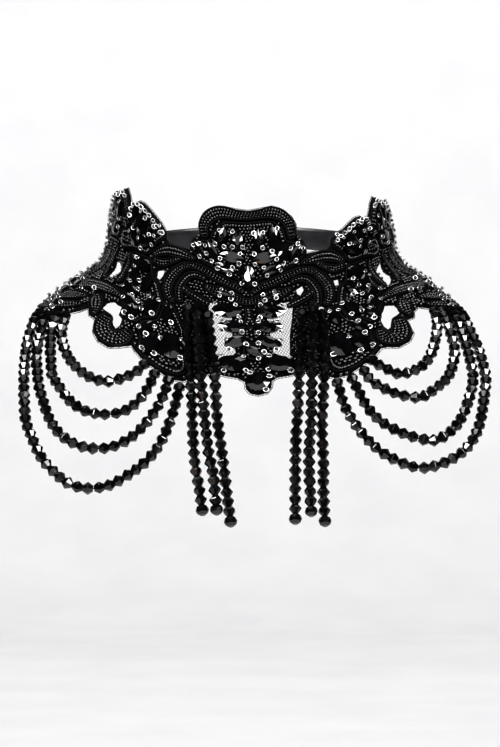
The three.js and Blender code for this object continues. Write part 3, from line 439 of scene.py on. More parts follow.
def through(points, closed=False, per_span=12):
    """Uniform Catmull-Rom curve: on each span, with x from 0 to 1, half of
    2 p1 + (p2 - p0) x + (2 p0 - 5 p1 + 4 p2 - p3) x^2 + (3 p1 - p0 - 3 p2 + p3) x^3."""
    p = np.asarray(points, float)
    if closed:
        p0, p1, p2, p3 = (np.roll(p, shift, axis=0) for shift in (1, 0, -1, -2))
    else:
        q = np.vstack([2 * p[0] - p[1], p, 2 * p[-1] - p[-2]])
        p0, p1, p2, p3 = q[:-3], q[1:-2], q[2:-1], q[3:]
    x = (np.arange(per_span) / per_span)[None, :, None]
    p0, p1, p2, p3 = (a[:, None] for a in (p0, p1, p2, p3))
    curve = 2 * p1 + (p2 - p0) * x + (2 * p0 - 5 * p1 + 4 * p2 - p3) * x**2
    curve = (curve + (3 * p1 - p0 - 3 * p2 + p3) * x**3) / 2
    curve = curve.reshape(-1, p.shape[-1])
    return curve if closed else np.vstack([curve, p[-1:]])


def copies(shape, places, axes, sizes):
    """A small shape repeated: each point p of it becomes place + size * (axes p)."""
    points, faces = shape
    made = np.einsum("nij,npj->npi", axes, points[None] * sizes[:, None])
    made = (places[:, None] + made).reshape(-1, 3)
    shift = (np.arange(len(places)) * len(points))[:, None, None]
    return made, [(some[None] + shift).reshape(-1, some.shape[1]) for some in faces]


def turned(profile, sides):
    """A solid turned about the x axis from (x, radius) rows, closed with flat ends."""
    x, radius = np.array(profile, float).T
    centre = np.column_stack([x, 0 * x, 0 * x])
    return tubes(centre, np.repeat(radius[:, None], sides, axis=1), (0, 1, 0))


# A seed bead one unit across, with its hole along x.
BEAD_SHAPE = turned([(-0.34, 0.26), (0, 0.5), (0.34, 0.26)], 7)


def bead_axes(angle, level, rise):
    """Axes of beads whose holes run along (level cos angle, level sin angle, rise): the hole's, the
    level one across it, and their cross product."""
    along = np.stack([level * np.cos(angle), level * np.sin(angle), rise], axis=-1)
    across = np.stack([-np.sin(angle), np.cos(angle), np.zeros(len(angle))], axis=-1)
    return np.stack([along, across, np.cross(along, across)], axis=-1)


def seed_beads(places, directions, rng, size):
    """Seed beads with their holes along the given directions, each a little out of line."""
    count = len(places)
    angle = np.arctan2(directions[:, 1], directions[:, 0]) + rng.normal(0, 0.16, count)
    lean = rng.normal(0, 0.13, count)
    sizes = (size * rng.uniform(0.93, 1.07, count))[:, None]
    return copies(BEAD_SHAPE, places, bead_axes(angle, np.cos(lean), np.sin(lean)), sizes)


def cord_round(loop):
    """A two-ply cord along a closed loop: its radius swells and thins as 0.8 + 0.2 cos 2(a - twist)
    round it, and the twist makes one turn every CORD_TURN millimetres."""
    loop = evenly(loop, 0.5, closed=True)
    halves = round(len(loop) * 0.5 / (CORD_TURN / 2))
    twist = (np.pi * halves * np.arange(len(loop)) / len(loop))[:, None]
    a = 2 * np.pi * np.arange(8) / 8
    return laid_round(loop, BEAD_HEIGHT, CORD * (0.8 + 0.2 * np.cos(2 * (a - twist))))


def scroll_edge(rows, inset):
    """The outline of a scroll, anticlockwise: half its width to each side of its line, with round ends."""
    line = evenly(through(rows), 0.8)
    along = heading(line[:, :2])
    left = leftward(along)
    half = line[:, 2:] / 2 - inset
    turn = np.radians([60, 30, 0, -30, -60])

    def cap(i, sign):
        angle = np.arctan2(sign * along[i, 1], sign * along[i, 0]) + turn
        return line[i, :2] + half[i] * np.column_stack([np.cos(angle), np.sin(angle)])

    outline = [line[:, :2] + left * half, cap(-1, 1), (line[:, :2] - left * half)[::-1], cap(0, -1)]
    return np.vstack(outline)[::-1]


def scroll_beads(rows, rng):
    """Rows of seed beads along a scroll, spread over its width between the cords."""
    line = evenly(through(rows), 0.8)
    left = leftward(heading(line[:, :2]))
    room = line[:, 2] - CORD_ROOM
    count = max(1, round(room.max() / ROW_ROOM))
    places, directions, sizes = [], [], []
    for i in range(count):
        offset = (i - (count - 1) / 2) / count * room
        row = np.column_stack([line[:, :2] + left * offset[:, None], room / count])
        row = evenly(row[room > 0.5], ROW_STITCH)
        places.append(row[:, :2])
        directions.append(heading(row[:, :2]))
        sizes.append(np.clip(row[:, 2] * 1.14, 1.1, SEED_BEAD))
    places, directions, sizes = np.vstack(places), np.vstack(directions), np.concatenate(sizes)
    places = raised_to(places, BEAD_HEIGHT + rng.uniform(-0.1, 0.1, len(places)))
    return seed_beads(places, directions, rng, sizes)


def edged(outline, cord_line, beads):
    """A band inside an outline: felt padding, the cord along its own line, and seed beads."""
    return [
        (*flat_sheet(outline, BED, PADDING_TOP), FELT, False),
        (*cord_round(cord_line), RAYON, True),
        (*beads, SEED_GLASS, True),
    ]


def scroll_parts(rows, rng):
    """The padding, edging cord and beads of one scroll, in the flat drawing."""
    outline = evenly(scroll_edge(rows, 0.35), 1.2, closed=True)
    return edged(outline, scroll_edge(rows, CORD), scroll_beads(rows, rng))


# Each row is a point of a scroll's line and its width there: u, v, width.
CROWN_ARCH = [
    (-23.7, 22.8, 4.7), (-24.5, 26.6, 5.8), (-21.8, 31.8, 6.8), (-16.6, 35.1, 6.8), (-11, 35.4, 6.2),
    (-5.4, 34.5, 5.2), (0.6, 34.3, 4.9), (6.6, 34.7, 5.2), (12, 35, 6.4), (17.3, 33.3, 6.2),
    (21.2, 29.8, 5.8), (23.2, 25.8, 5.6), (23.5, 22.4, 4.7)]
SCROLLS = {
    "top_leaf": [
        [(-51.6, 4, 3.6), (-48.2, 6.4, 5.2), (-43.2, 8.4, 6), (-37.4, 9, 5.9), (-32.8, 8.6, 4.4),
         (-29, 8.2, 2.4)],
        [(-51, 0.8, 4.2), (-46.6, 0.9, 4.6), (-42, 3.1, 3.6), (-36.8, 6.2, 2.4)]],
    "c_scroll": [
        [(-38.4, -17, 3.8), (-40.8, -14.6, 4.8), (-42.1, -10.6, 5.2), (-41.2, -5.6, 5.2), (-38, -0.6, 4.6),
         (-33.6, 3.2, 3.8), (-28, 4.5, 3.5), (-22.8, 3.6, 4), (-17.4, 1.8, 4.6), (-11.8, -0.3, 4.6),
         (-6.6, -1.9, 4.2), (-3.1, -4.4, 3)]],
    "inner_curl": [
        [(-34.6, -15.4, 4.2), (-35.6, -9.8, 4.2), (-34, -4.8, 4.1), (-30.8, -1, 3.8), (-26.8, 0.4, 3.5),
         (-23.4, -0.4, 3)],
        [(-33, -8.8, 3.4), (-27.8, -11.1, 4.2), (-24.1, -12.4, 4.2), (-20.6, -13.6, 3.4)]],
    "hook_scroll": {
        "left": [[(-62.8, -40.8, 5.8), (-63, -44.9, 7.6), (-60.7, -49.3, 9), (-56.9, -50.2, 8.8),
                  (-53.8, -48, 7.2), (-52.2, -44.6, 5.2)]],
        "right": [[(60.3, -41.8, 6), (58.9, -46, 7.6), (56, -50, 8.2), (52.6, -49.8, 7.2),
                   (51, -46.5, 5.4), (51.2, -43.5, 3.8)]]},
    "teardrop": {
        "left": [[(-74.8, -31.8, 4), (-73.4, -33.6, 7), (-71.6, -36.4, 7.8), (-69.9, -39.6, 4.8),
                  (-69.1, -42, 2.2)]],
        "right": [[(70.4, -31.4, 4), (68.8, -34.5, 7), (67.5, -37.7, 6.4), (67.1, -40.6, 4)]]},
    "shoulder_leaf_upper": [
        [(-63.8, -25.8, 2.8), (-70, -25.2, 5.6), (-79, -26, 7), (-89, -28.4, 7.4), (-98.6, -32.2, 5.6)]],
    "shoulder_leaf_middle": {
        "left": [[(-80.4, -34.8, 3.6), (-84.8, -36.6, 6), (-91, -39.4, 7.4), (-99, -43, 6.6),
                  (-105, -45.6, 4)]],
        "right": [[(96.8, -41.6, 4.6), (91, -39.4, 6.8), (84.8, -36.6, 6), (80.4, -34.8, 3.6)]]},
    "shoulder_leaf_lower": {
        "left": [[(-78.8, -40.4, 3), (-82.4, -42.8, 5.2), (-88.5, -46.8, 6.2), (-95, -50.2, 5.4),
                  (-100.5, -52.8, 3.6)]],
        "right": [[(92.6, -48.4, 4), (88, -46, 5.6), (82.4, -42.8, 5.2), (78.8, -40.4, 3)]]},
    "window_leaf_outer": [
        [(-82.6, -1.6, 3), (-85.4, -7.6, 5), (-84.6, -14, 4.8), (-80.8, -19.8, 3.2)]],
    "window_leaf_inner": [
        [(-70.2, -2, 2.6), (-69.6, -6.6, 3.6), (-70.2, -12.5, 4), (-70.4, -18.4, 3.2)]],
    "peak_leaf": [[(-74.6, 13.6, 3.2), (-77.8, 18.8, 4.6), (-81, 24, 5.2), (-83.5, 27.3, 3.8)]],
    "edge_leaf": [[(-91.6, 0, 3), (-92.6, -6.4, 5.6), (-93.8, -14.4, 6), (-96.4, -21.6, 3.6)]],
}

# Outlines of the beadwork, which the loose beads between keep clear of.
backing = []


def sides_of(bands):
    """Both sides of a motif: its own two tables, or the left one and its mirror image."""
    if isinstance(bands, dict):
        return list(bands.items())
    return [("left", bands), ("right", [mirror(band) for band in bands])]


def sew_scroll(name, bands, seed):
    """Makes a motif of scrolls as one piece, and notes where it lies."""
    rng = np.random.default_rng(seed)
    parts = []
    for band in bands:
        parts += scroll_parts(band, rng)
        backing.append(evenly(scroll_edge(band, 0), 1.2, closed=True))
    make_piece(f"{name}_beadwork", wear(parts), name)


sew_scroll("crown_arch", [CROWN_ARCH], 1)
for seed, (name, bands) in enumerate(SCROLLS.items()):
    for side, own in sides_of(bands):
        sew_scroll(f"{name}_{side}", own, 10 + seed + (50 if side == "right" else 0))


# ---- clusters of stones ----
# Flat-backed black glass stones, cut with a table and bevels, are sewn on beds of seed beads. Small
# silver-coloured rings with a black bead in each hold them at their corners.

# Faceted and polished black glass: near black, with crisp grey reflections that differ by facet.
JET = mottled("polished_jet_glass", 5, (0x040405, 0x0a0a0c), (0.03, 0.09), {"IOR": 1.56}, ends=(0.35, 0.65))
# Nickel-plated brass wire: bright silver, slightly dulled where it has been handled.
NICKEL = mottled("nickel_plated_ring", 0.9, (0xa8a8a8, 0xdadada), (0.24, 0.38), {"Metallic": 1.0},
                 detail=3.0)

STONE_RISE = (1.9, 2.9, 3.8)   # heights of a stone's foot and of its girdle's two edges
TABLE_SHARE = 0.5        # of a stone's table in its size
RING = 1.12              # radius of a ring, to the middle of its wire
RING_WIRE = 0.26         # radius of the wire
RING_HEIGHT = 3.6        # middle of a cluster's rings
EDGE_RING_HEIGHT = 4.3   # middle of the rings on a fan's outer edge
EDGE_RING_STITCH = 3.3   # from ring to ring there
RING_GAP = 3             # least distance between two rings of a cluster
CLEAR = 0.75             # from a stone or a motif to the middle of the next bead
BED_BEAD = 1.9           # across a bead of a bed
BED_BEAD_HEIGHT = 2.6    # middle of these beads
BED_STITCH = 1.85        # from bead to bead along a bed's offset rows
BED_ROW = 1.6            # from row to row
BED_EDGE = 3.3           # from a bed's edge to its offset rows
EDGE_ROW = 1.85          # from a bed's edge to the row of beads that follows it
EDGE_ROOM = 1.6          # least distance to the edge that a bend leaves those beads
EDGE_STITCH = 1.6        # from bead to bead along that row

# Shares of a stone's half length and half width, anticlockwise from its right tip.
NAVETTE = np.array([(1, 0), (0.8, 0.46), (0.42, 0.86), (0, 1), (-0.42, 0.86), (-0.8, 0.46)])
NAVETTE = np.vstack([NAVETTE, -NAVETTE])
OVAL = np.column_stack([np.cos(np.arange(12) * np.pi / 6), np.sin(np.arange(12) * np.pi / 6)])


def stone_outline(stone):
    """A stone's outline in the drawing: its shape stretched to its size, turned, and moved to its place.
    A stone more than 0.6 times as wide as it is long is an oval."""
    u, v, turn, length, width = stone
    points = (OVAL if width > 0.6 * length else NAVETTE) * [length / 2, width / 2]
    c, s = np.cos(np.radians(turn)), np.sin(np.radians(turn))
    return points @ np.array([[c, s], [-s, c]]) + [u, v]


def cut_stone(stone, rng):
    """One stone: a straight girdle, then long shallow facets in triangles up to a small flat table, whose
    corners are half a step round from the girdle's. The table leans a little."""
    outline = stone_outline(stone)
    centre = outline.mean(axis=0)
    size = min(stone[3:]) / 6
    count = len(outline)
    halfway = (outline + np.roll(outline, -1, axis=0)) / 2
    table = centre + (halfway - centre) * TABLE_SHARE
    lean = rng.normal(0, 0.09, 2)
    height = 4.0 + 0.25 * size + (table - centre) @ lean
    foot = centre + (outline - centre) * 0.93
    heights = (*STONE_RISE, np.clip(height, 3.9, 5))
    rings = [raised_to(ring, rise) for ring, rise in zip((foot, outline, outline, table), heights)]
    j = np.arange(count)
    k = np.roll(j, -1)
    quads = [np.stack([i * count + j, i * count + k, (i + 1) * count + k, (i + 1) * count + j], axis=-1)
             for i in (0, 1)]
    girdle, top = 2 * count, 3 * count
    bevels = np.vstack([np.stack([girdle + j, girdle + k, top + j], axis=-1),
                        np.stack([girdle + k, top + k, top + j], axis=-1)])
    return np.vstack(rings), [np.vstack(quads), bevels, (top + j)[None], j[::-1][None]]


def ring_shape():
    """A ring of round wire about the x axis: the circle of the wire swept along the circle of the ring."""
    a = 2 * np.pi * np.arange(12) / 12
    side = np.column_stack([0 * a, np.cos(a), np.sin(a)])
    return tubes(RING * side, np.full((12, 6), RING_WIRE), side, (-1, 0, 0), closed=True)


RING_SHAPE = ring_shape()


def corner_rings(stones, rng):
    """Rings at the corners of each stone, tipped outwards, and the small bead in each ring."""
    places, faces_to = [], []
    for u, v, turn, length, width in stones:
        c, s = np.cos(np.radians(turn)), np.sin(np.radians(turn))
        for a, b in ((1, 1), (-1, 1), (-1, -1), (1, -1)):
            x = a * (0.35 * length + rng.uniform(-0.6, 0.6))
            y = b * (0.42 * width + rng.uniform(-0.1, 0.5))
            place = np.array([u + x * c - y * s, v + x * s + y * c])
            apart = all(np.hypot(*(place - other)) > RING_GAP for other in places)
            if rng.random() < 0.8 and apart:
                places.append(place)
                faces_to.append(np.arctan2(y * c + x * s, x * c - y * s) + rng.normal(0, 0.9))
    tips = rng.uniform(0.2, 0.6, len(places))
    return rings_at(np.array(places), np.array(faces_to), tips, RING_HEIGHT, rng)


def rings_at(places, angle, tip, height, rng):
    """Rings at places in the drawing, each tipped by its own angle towards its own side, with their
    beads. The middle of a ring is about the given height above the net."""
    axes = bead_axes(angle, np.sin(tip), np.cos(tip))
    centre = raised_to(places, height + rng.uniform(-0.15, 0.2, len(places)))
    sizes = rng.uniform(0.84, 1.04, len(places))[:, None]
    return [
        (*copies(RING_SHAPE, centre, axes, sizes), NICKEL, True),
        (*copies(BEAD_SHAPE, centre - 0.25 * axes[:, :, 0], axes, 1.75 * sizes), SEED_GLASS, True),
    ]


def edge_rings(line, rng):
    """Rings along a fan's outer edge, standing up to face the front."""
    line = evenly(through(line), EDGE_RING_STITCH)
    angle = np.where(line[:, 0] > 0, np.pi, 0) + rng.normal(0, 0.4, len(line))
    return rings_at(line, angle, rng.uniform(0.6, 1.2, len(line)), EDGE_RING_HEIGHT, rng)


def offset_rows(outline):
    """Places in rows over the box of an outline, with every second row half a step along."""
    lo, hi = outline.min(axis=0), outline.max(axis=0)
    across, up = np.meshgrid(np.arange(lo[0], hi[0], BED_STITCH), np.arange(lo[1], hi[1], BED_ROW))
    across[1::2] += 0.92
    return np.column_stack([across.ravel(), up.ravel()])


def clear_of(places, outline):
    """Which places have room for a bead beside an outline."""
    return ~inside(places, outline) & (distance(places, outline) > CLEAR)


def bed_beads(outline, stones, rng):
    """Seed beads over a bed, clear of its stones: one row follows its edge, and offset rows lie within."""
    loop = evenly(outline, EDGE_STITCH, closed=True)
    ahead = heading(loop, closed=True)
    row = loop + leftward(ahead) * EDGE_ROW
    keep = distance(row, outline) > EDGE_ROOM
    grid = offset_rows(outline)
    grid = grid[inside(grid, outline)]
    grid = grid[distance(grid, outline) > BED_EDGE]
    grid = grid + rng.normal(0, 0.18, grid.shape)
    angle = rng.uniform(0, np.pi, len(grid))
    places = np.vstack([row[keep], grid])
    directions = np.vstack([ahead[keep], np.column_stack([np.cos(angle), np.sin(angle)])])
    for stone in stones:
        clear = clear_of(places, stone_outline(stone))
        places, directions = places[clear], directions[clear]
    places = raised_to(places, BED_BEAD_HEIGHT + rng.uniform(-0.15, 0.25, len(places)))
    return seed_beads(places, directions, rng, np.full(len(places), BED_BEAD))


def set_stones(stones, rng):
    """Stones, then the rings at their corners."""
    return [(*cut_stone(stone, rng), JET, False) for stone in stones] + corner_rings(stones, rng)


def cluster_parts(bed, stones, rng):
    """The padding, edging cord, seed beads, stones and rings of one cluster, in the flat drawing."""
    outline = evenly(through(bed, closed=True), 1.0, closed=True)
    a, b = outline, np.roll(outline, -1, axis=0)
    if (a[:, 0] * b[:, 1] - a[:, 1] * b[:, 0]).sum() < 0:
        outline = outline[::-1]
    inset = outline + leftward(heading(outline, closed=True)) * CORD
    backing.append(outline)
    parts = edged(outline, inset, bed_beads(outline, stones, rng))
    return parts + set_stones(stones, rng)


def mirrored_stones(stones):
    """The same stones on the other half of the drawing."""
    return [(-u, v, 180 - turn, length, width) for u, v, turn, length, width in stones]


def sew_cluster(name, bed, stones, seed, edge=None):
    """Makes a cluster of stones as one piece, with extra rings along its edge if it has them."""
    rng = np.random.default_rng(seed)
    parts = cluster_parts(np.array(bed, float), stones, rng)
    if edge is not None:
        parts += edge_rings(edge, rng)
    make_piece(f"{name}_beadwork", wear(parts), name)


# Beds are outlines, and a stone's row is u, v, its turn in degrees, its length and its width.
CROWN_BED = whole([
    (0, 30.8), (-8, 31), (-13, 30.5), (-16.2, 28.1), (-19.3, 24.8), (-20.4, 20.6), (-24, 19), (-28.4, 18),
    (-31, 14.8), (-29.8, 11.4), (-26.6, 9.2), (-24, 7.4), (-19.6, 6), (-14.6, 4.4), (-9.8, 2.8), (-5.6, 1.2),
    (-3, -1.4), (0, -3)])[:-1]
CROWN_STONES = [
    (-5.5, 21.4, 90, 11.5, 5.4), (-13.9, 22, 78, 11.5, 5.2), (-18.6, 13.8, 118, 11.5, 5),
    (-25.5, 13.5, 130, 9, 4.4), (-8.4, 12.6, -6, 13, 5.6), (-12.3, 6.6, -16, 10.5, 4.4)]
SPINE_BED = whole([
    (0, -13.2), (-1.6, -13.3), (-2, -19), (-3.6, -24), (-3.8, -30), (-4.4, -36), (-4.6, -40), (-3.2, -42.2),
    (0, -43.6)])[:-1]
SPINE_STONES = [(-8.5, -25.2, 0, 13.4, 6.8), (-7.3, -33.8, 26, 11.6, 6.2)]
CLUSTERS = {
    "front_fan": ([
        (-46.4, 13.6), (-47, 16.8), (-50.4, 20), (-54.7, 22.5), (-59.8, 24.7), (-64.2, 26.2), (-68.4, 26),
        (-71.8, 23.8), (-72.8, 19), (-71.6, 14.8), (-71.8, 11.8), (-74.6, 10.6), (-78, 9.8), (-80.2, 7.4),
        (-80.4, 3), (-78.6, 0.4), (-75, -0.6), (-71.6, 0.4), (-66, 1.4), (-60, 1.4), (-56.4, 1.8),
        (-54.6, 3.4), (-52.6, 7.2), (-49.4, 10.4),
    ], [
        (-68.9, 20.4, 78, 8.5, 4.2), (-64.2, 17, 60, 12, 5.2), (-58, 15.4, 48, 13, 5.6),
        (-58.6, 8, 28, 12.5, 5.8), (-51, 15.8, 34, 7.6, 3.6), (-67.6, 8, -52, 9.5, 4.2)]),
    "side_cluster": ([
        (-67.6, 0.4), (-60, 0.5), (-56, 0.7), (-54, -0.4), (-52.8, -3.2), (-51, -8.8), (-47.2, -10.8),
        (-45.4, -14.2), (-43.2, -18.6), (-42.8, -24), (-43.6, -30), (-48.4, -33), (-50.6, -36.4),
        (-54.6, -37.2), (-57, -34.2), (-58, -30.6), (-61.9, -28.4), (-61.8, -23.9), (-65, -22.2),
        (-66.8, -18), (-67.3, -12), (-67, -6), (-68, -1.6),
    ], [
        (-59.4, -4.8, -6, 12, 6), (-61.6, -12, -52, 11, 5), (-60.2, -20, -24, 11, 5),
        (-53, -13.6, 80, 11, 5), (-47.4, -24.6, 84, 12, 5.4), (-57.2, -26, -24, 9, 4.6),
        (-53.8, -32.4, 72, 8.5, 4.4)]),
    "lower_cluster": ([
        (-42.2, -20.8), (-39.8, -20.2), (-37.2, -19.6), (-35.4, -22.2), (-31.8, -27.4), (-29.4, -32),
        (-28.4, -39), (-27.6, -46), (-27, -53), (-30, -57.6), (-36.4, -57.4), (-43.2, -54), (-47, -50.8),
        (-47, -45.4), (-48.6, -40.4), (-49.2, -37.2), (-47.9, -33.8), (-43, -31), (-41.8, -24),
    ], [
        (-38.4, -27, 98, 10, 4.4), (-45.6, -37.4, 66, 8.6, 4.2), (-42, -45.4, 84, 12.5, 5.6),
        (-34.4, -43.4, 92, 14, 9)]),
    "back_fan": ([
        (-81.4, 9.6), (-81.2, 15.2), (-83.6, 19.6), (-87, 25.8), (-90.8, 27.4), (-95.4, 25), (-100.4, 21.4),
        (-103.4, 17), (-108, 13.4), (-112.4, 6), (-112.6, -6), (-112.2, -16), (-111.4, -26), (-110, -36),
        (-107.4, -39.6), (-104.6, -37), (-102.6, -31), (-101, -22), (-99.4, -11), (-98, -2), (-97, 2.6),
        (-91.2, 3.2), (-85.2, 2.8), (-82, 4.6),
    ], [
        (-97.2, 16.8, 118, 10, 5), (-91, 20.2, 96, 11, 5), (-85.8, 17, 76, 10, 5), (-88, 8.6, 30, 10, 4.8),
        (-103.6, 6.4, 66, 10.5, 5), (-106, -6, 88, 10, 5), (-106.4, -19, 90, 10, 5),
        (-106.8, -31, 84, 9, 4.8)]),
}
# The right back fan is cut shorter down its outer edge.
fan_bed, fan_stones = CLUSTERS["back_fan"]
BACK_FAN_RIGHT = (np.vstack([
    mirror(fan_bed[-5:]),
    [(98.4, -10), (99.2, -18), (100.2, -26), (102, -30.4), (103.4, -32), (104.9, -30.8), (107.2, -26),
     (110.6, -16), (112.4, -6), (112.2, 6)],
    mirror(fan_bed[:9])]), [
    *mirrored_stones(fan_stones[:5]), (105.8, -6, 92, 10, 5), (104.6, -18.6, 84, 9.5, 4.8),
    (103.4, -27.6, 96, 7, 3.6)])
# Extra rings stud the outer edges of the fans.
FAN_EDGES = {
    "front_fan": [(-48.6, 15.6), (-54.8, 21), (-64.2, 24.6), (-70, 23.4), (-71.4, 17.6)],
    "back_fan": [(-79, 26), (-83.4, 27.6), (-86.4, 25.4), (-88, 25), (-92, 25.6), (-98.4, 21.4),
                 (-103.4, 15.2), (-108.4, 9), (-109.6, 0), (-109.8, -12), (-109.6, -24), (-108.8, -35)]}
BACK_FAN_EDGE_RIGHT = np.vstack([
    [(104.6, -28.6), (107.4, -22), (109.6, -12)], mirror(FAN_EDGES["back_fan"][:9])])

sew_cluster("crown_cluster", CROWN_BED,
            CROWN_STONES + mirrored_stones(CROWN_STONES) + [(0, 3.3, 90, 11, 7.4)], 2)
sew_cluster("spine_cluster", SPINE_BED,
            SPINE_STONES + mirrored_stones(SPINE_STONES) + [(0.4, -39, -40, 9, 4.6)], 3)
for seed, (name, (bed, stones)) in enumerate(CLUSTERS.items()):
    edge = FAN_EDGES.get(name)
    sew_cluster(f"{name}_left", bed, stones, 100 + seed, edge)
    if name == "back_fan":
        sew_cluster(f"{name}_right", *BACK_FAN_RIGHT, 120 + seed, BACK_FAN_EDGE_RIGHT)
    else:
        sew_cluster(f"{name}_right", mirror(bed), mirrored_stones(stones), 120 + seed,
                    None if edge is None else mirror(edge))

# ---- shoulder studs ----
# Rings and a few small stones are sewn along the outer edge of each shoulder, over its leaves. They
# are plated rings and black glass, as in the clusters.

STUD_HEIGHT = 4.5        # middle of these rings, which lie over the leaves' beads

# Places of the rings, then the stones.
SHOULDER_STUDS = {
    "left": ([(-95, -27), (-90.5, -28), (-94.5, -34.5), (-100, -36), (-100.5, -40.5), (-95, -43), (-91, -44),
              (-86, -46), (-94, -48), (-88, -50.5), (-99, -46), (-88, -54), (-84, -33), (-77, -29.5)],
             [(-97.4, -38, 132, 7, 3.4), (-91.5, -47.2, 140, 7, 3.4), (-92.6, -31, 150, 7, 3.4)]),
    "right": ([(89, -24), (95.5, -29.5), (94, -33.5), (82, -31), (97, -37), (91.5, -38), (87.5, -41),
               (86, -43.5), (84.5, -48.5), (92.5, -42.5), (77, -29.5)],
              [(92.4, -30.2, 30, 7, 3.4), (89.4, -44, 42, 7, 3.4)])}

for side, (places, stones) in SHOULDER_STUDS.items():
    rng = np.random.default_rng(140 + len(places))
    places = np.array(places, float)
    angle = np.arctan2(-0.8, -np.sign(places[:, 0])) + rng.normal(0, 0.4, len(places))
    studs = rings_at(places, angle, rng.uniform(0.6, 1.1, len(places)), STUD_HEIGHT, rng)
    studs += [(*cut_stone(stone, rng), JET, False) for stone in stones]
    make_piece(f"shoulder_studs_{side}", wear(studs), f"shoulder_leaf_middle_{side}")

# ---- V leaf ----
# The V-shaped leaf below the centre oval is corded and beaded as the scrolls are, with a small black
# glass stone and its rings on each arm.

V_LEAF = whole([(-21, -4.6, 3), (-17.4, -6, 5.4), (-12.4, -6.6, 7), (-7, -8.2, 5.6), (-2.6, -9.7, 4.6),
                (0, -10.4, 4)])
v_stones = [(-11.4, -7.2, -12, 8.6, 3.6)]
v_stones += mirrored_stones(v_stones)
v_rng = np.random.default_rng(4)
v_parts = scroll_parts(V_LEAF, v_rng) + set_stones(v_stones, v_rng)
make_piece("v_leaf_beadwork", wear(v_parts), "v_leaf")
backing.append(evenly(scroll_edge(V_LEAF, 0), 1.2, closed=True))

# ---- large stones ----
# Five larger stones of polished black glass are sewn straight on the net by rings at their corners:
# two in the row, two at the lower edge and the drop.

LARGE_STONES = {
    "row_stone_left": (-10.6, -16.4, 4, 15.2, 8.2),
    "row_stone_right": (10.6, -16.4, 176, 15.2, 8.2),
    "bottom_stone_left": (-9.2, -46, 4, 13, 8.8),
    "bottom_stone_right": (9.4, -46.4, 168, 13, 8.8),
    "drop_stone": (0, -55.4, 76, 10.8, 9),
}

for seed, (name, stone) in enumerate(LARGE_STONES.items()):
    rng = np.random.default_rng(200 + seed)
    make_piece(f"{name}_cut", wear(set_stones([stone], rng)), name)

# ---- loose seed beads ----
# Black seed beads fill what the motifs leave of the felt lining. Each is sewn down by itself, a little
# clear of the motifs, the large stones and the edges of the net.

LOOSE_ROOM = 1.1         # from an edge of the lining to the middle of a bead
LOOSE_HEIGHT = 2.0       # middle of these beads, on the lining


def loose_beads(rng):
    """Seed beads in offset rows wherever the lining shows between the motifs."""
    grid = offset_rows(NET_EDGE)
    grid = grid + rng.normal(0, 0.15, grid.shape)
    edge_loops = [NET_EDGE, *NET_WINDOWS, *NET_PANELS]
    grid = grid[inside(grid, *edge_loops)]
    grid = grid[distance(grid, *edge_loops) > LOOSE_ROOM]
    for outline in backing + [stone_outline(stone) for stone in LARGE_STONES.values()]:
        near = np.abs(grid - outline.mean(axis=0)).max(axis=1) < np.ptp(outline, axis=0).max()
        clear = np.ones(len(grid), bool)
        clear[near] = clear_of(grid[near], outline)
        grid = grid[clear]
    angle = rng.uniform(0, np.pi, len(grid))
    directions = np.column_stack([np.cos(angle), np.sin(angle)])
    places = raised_to(grid, LOOSE_HEIGHT + rng.uniform(-0.15, 0.3, len(grid)))
    return seed_beads(places, directions, rng, np.full(len(grid), BED_BEAD))


loose = [(*loose_beads(np.random.default_rng(5)), SEED_GLASS, True)]
make_piece("net_ground_loose_beads", wear(loose), "net_ground")

# ---- bead strands ----
# Faceted glass bicone beads about 6 mm across are strung on black thread. Four swags hang over each
# shoulder, and three straight fringes hang at each side of the centre.

BICONE = 3.05            # radius of a bead at its waist
BICONE_PITCH = 5.2       # from bead to bead along the thread
THREAD = 0.35            # radius of the thread

# Heights of the swags' threads above the skin: at their first stitches, where they hang, and at their
# last stitches.
SWAG_START = {"left": (3.2, 3.2, 2.6, 2.6), "right": (3.2, 2.4, 2.4, 2.4)}
SWAG_HEIGHT = 4.4
SWAG_END = 2.6

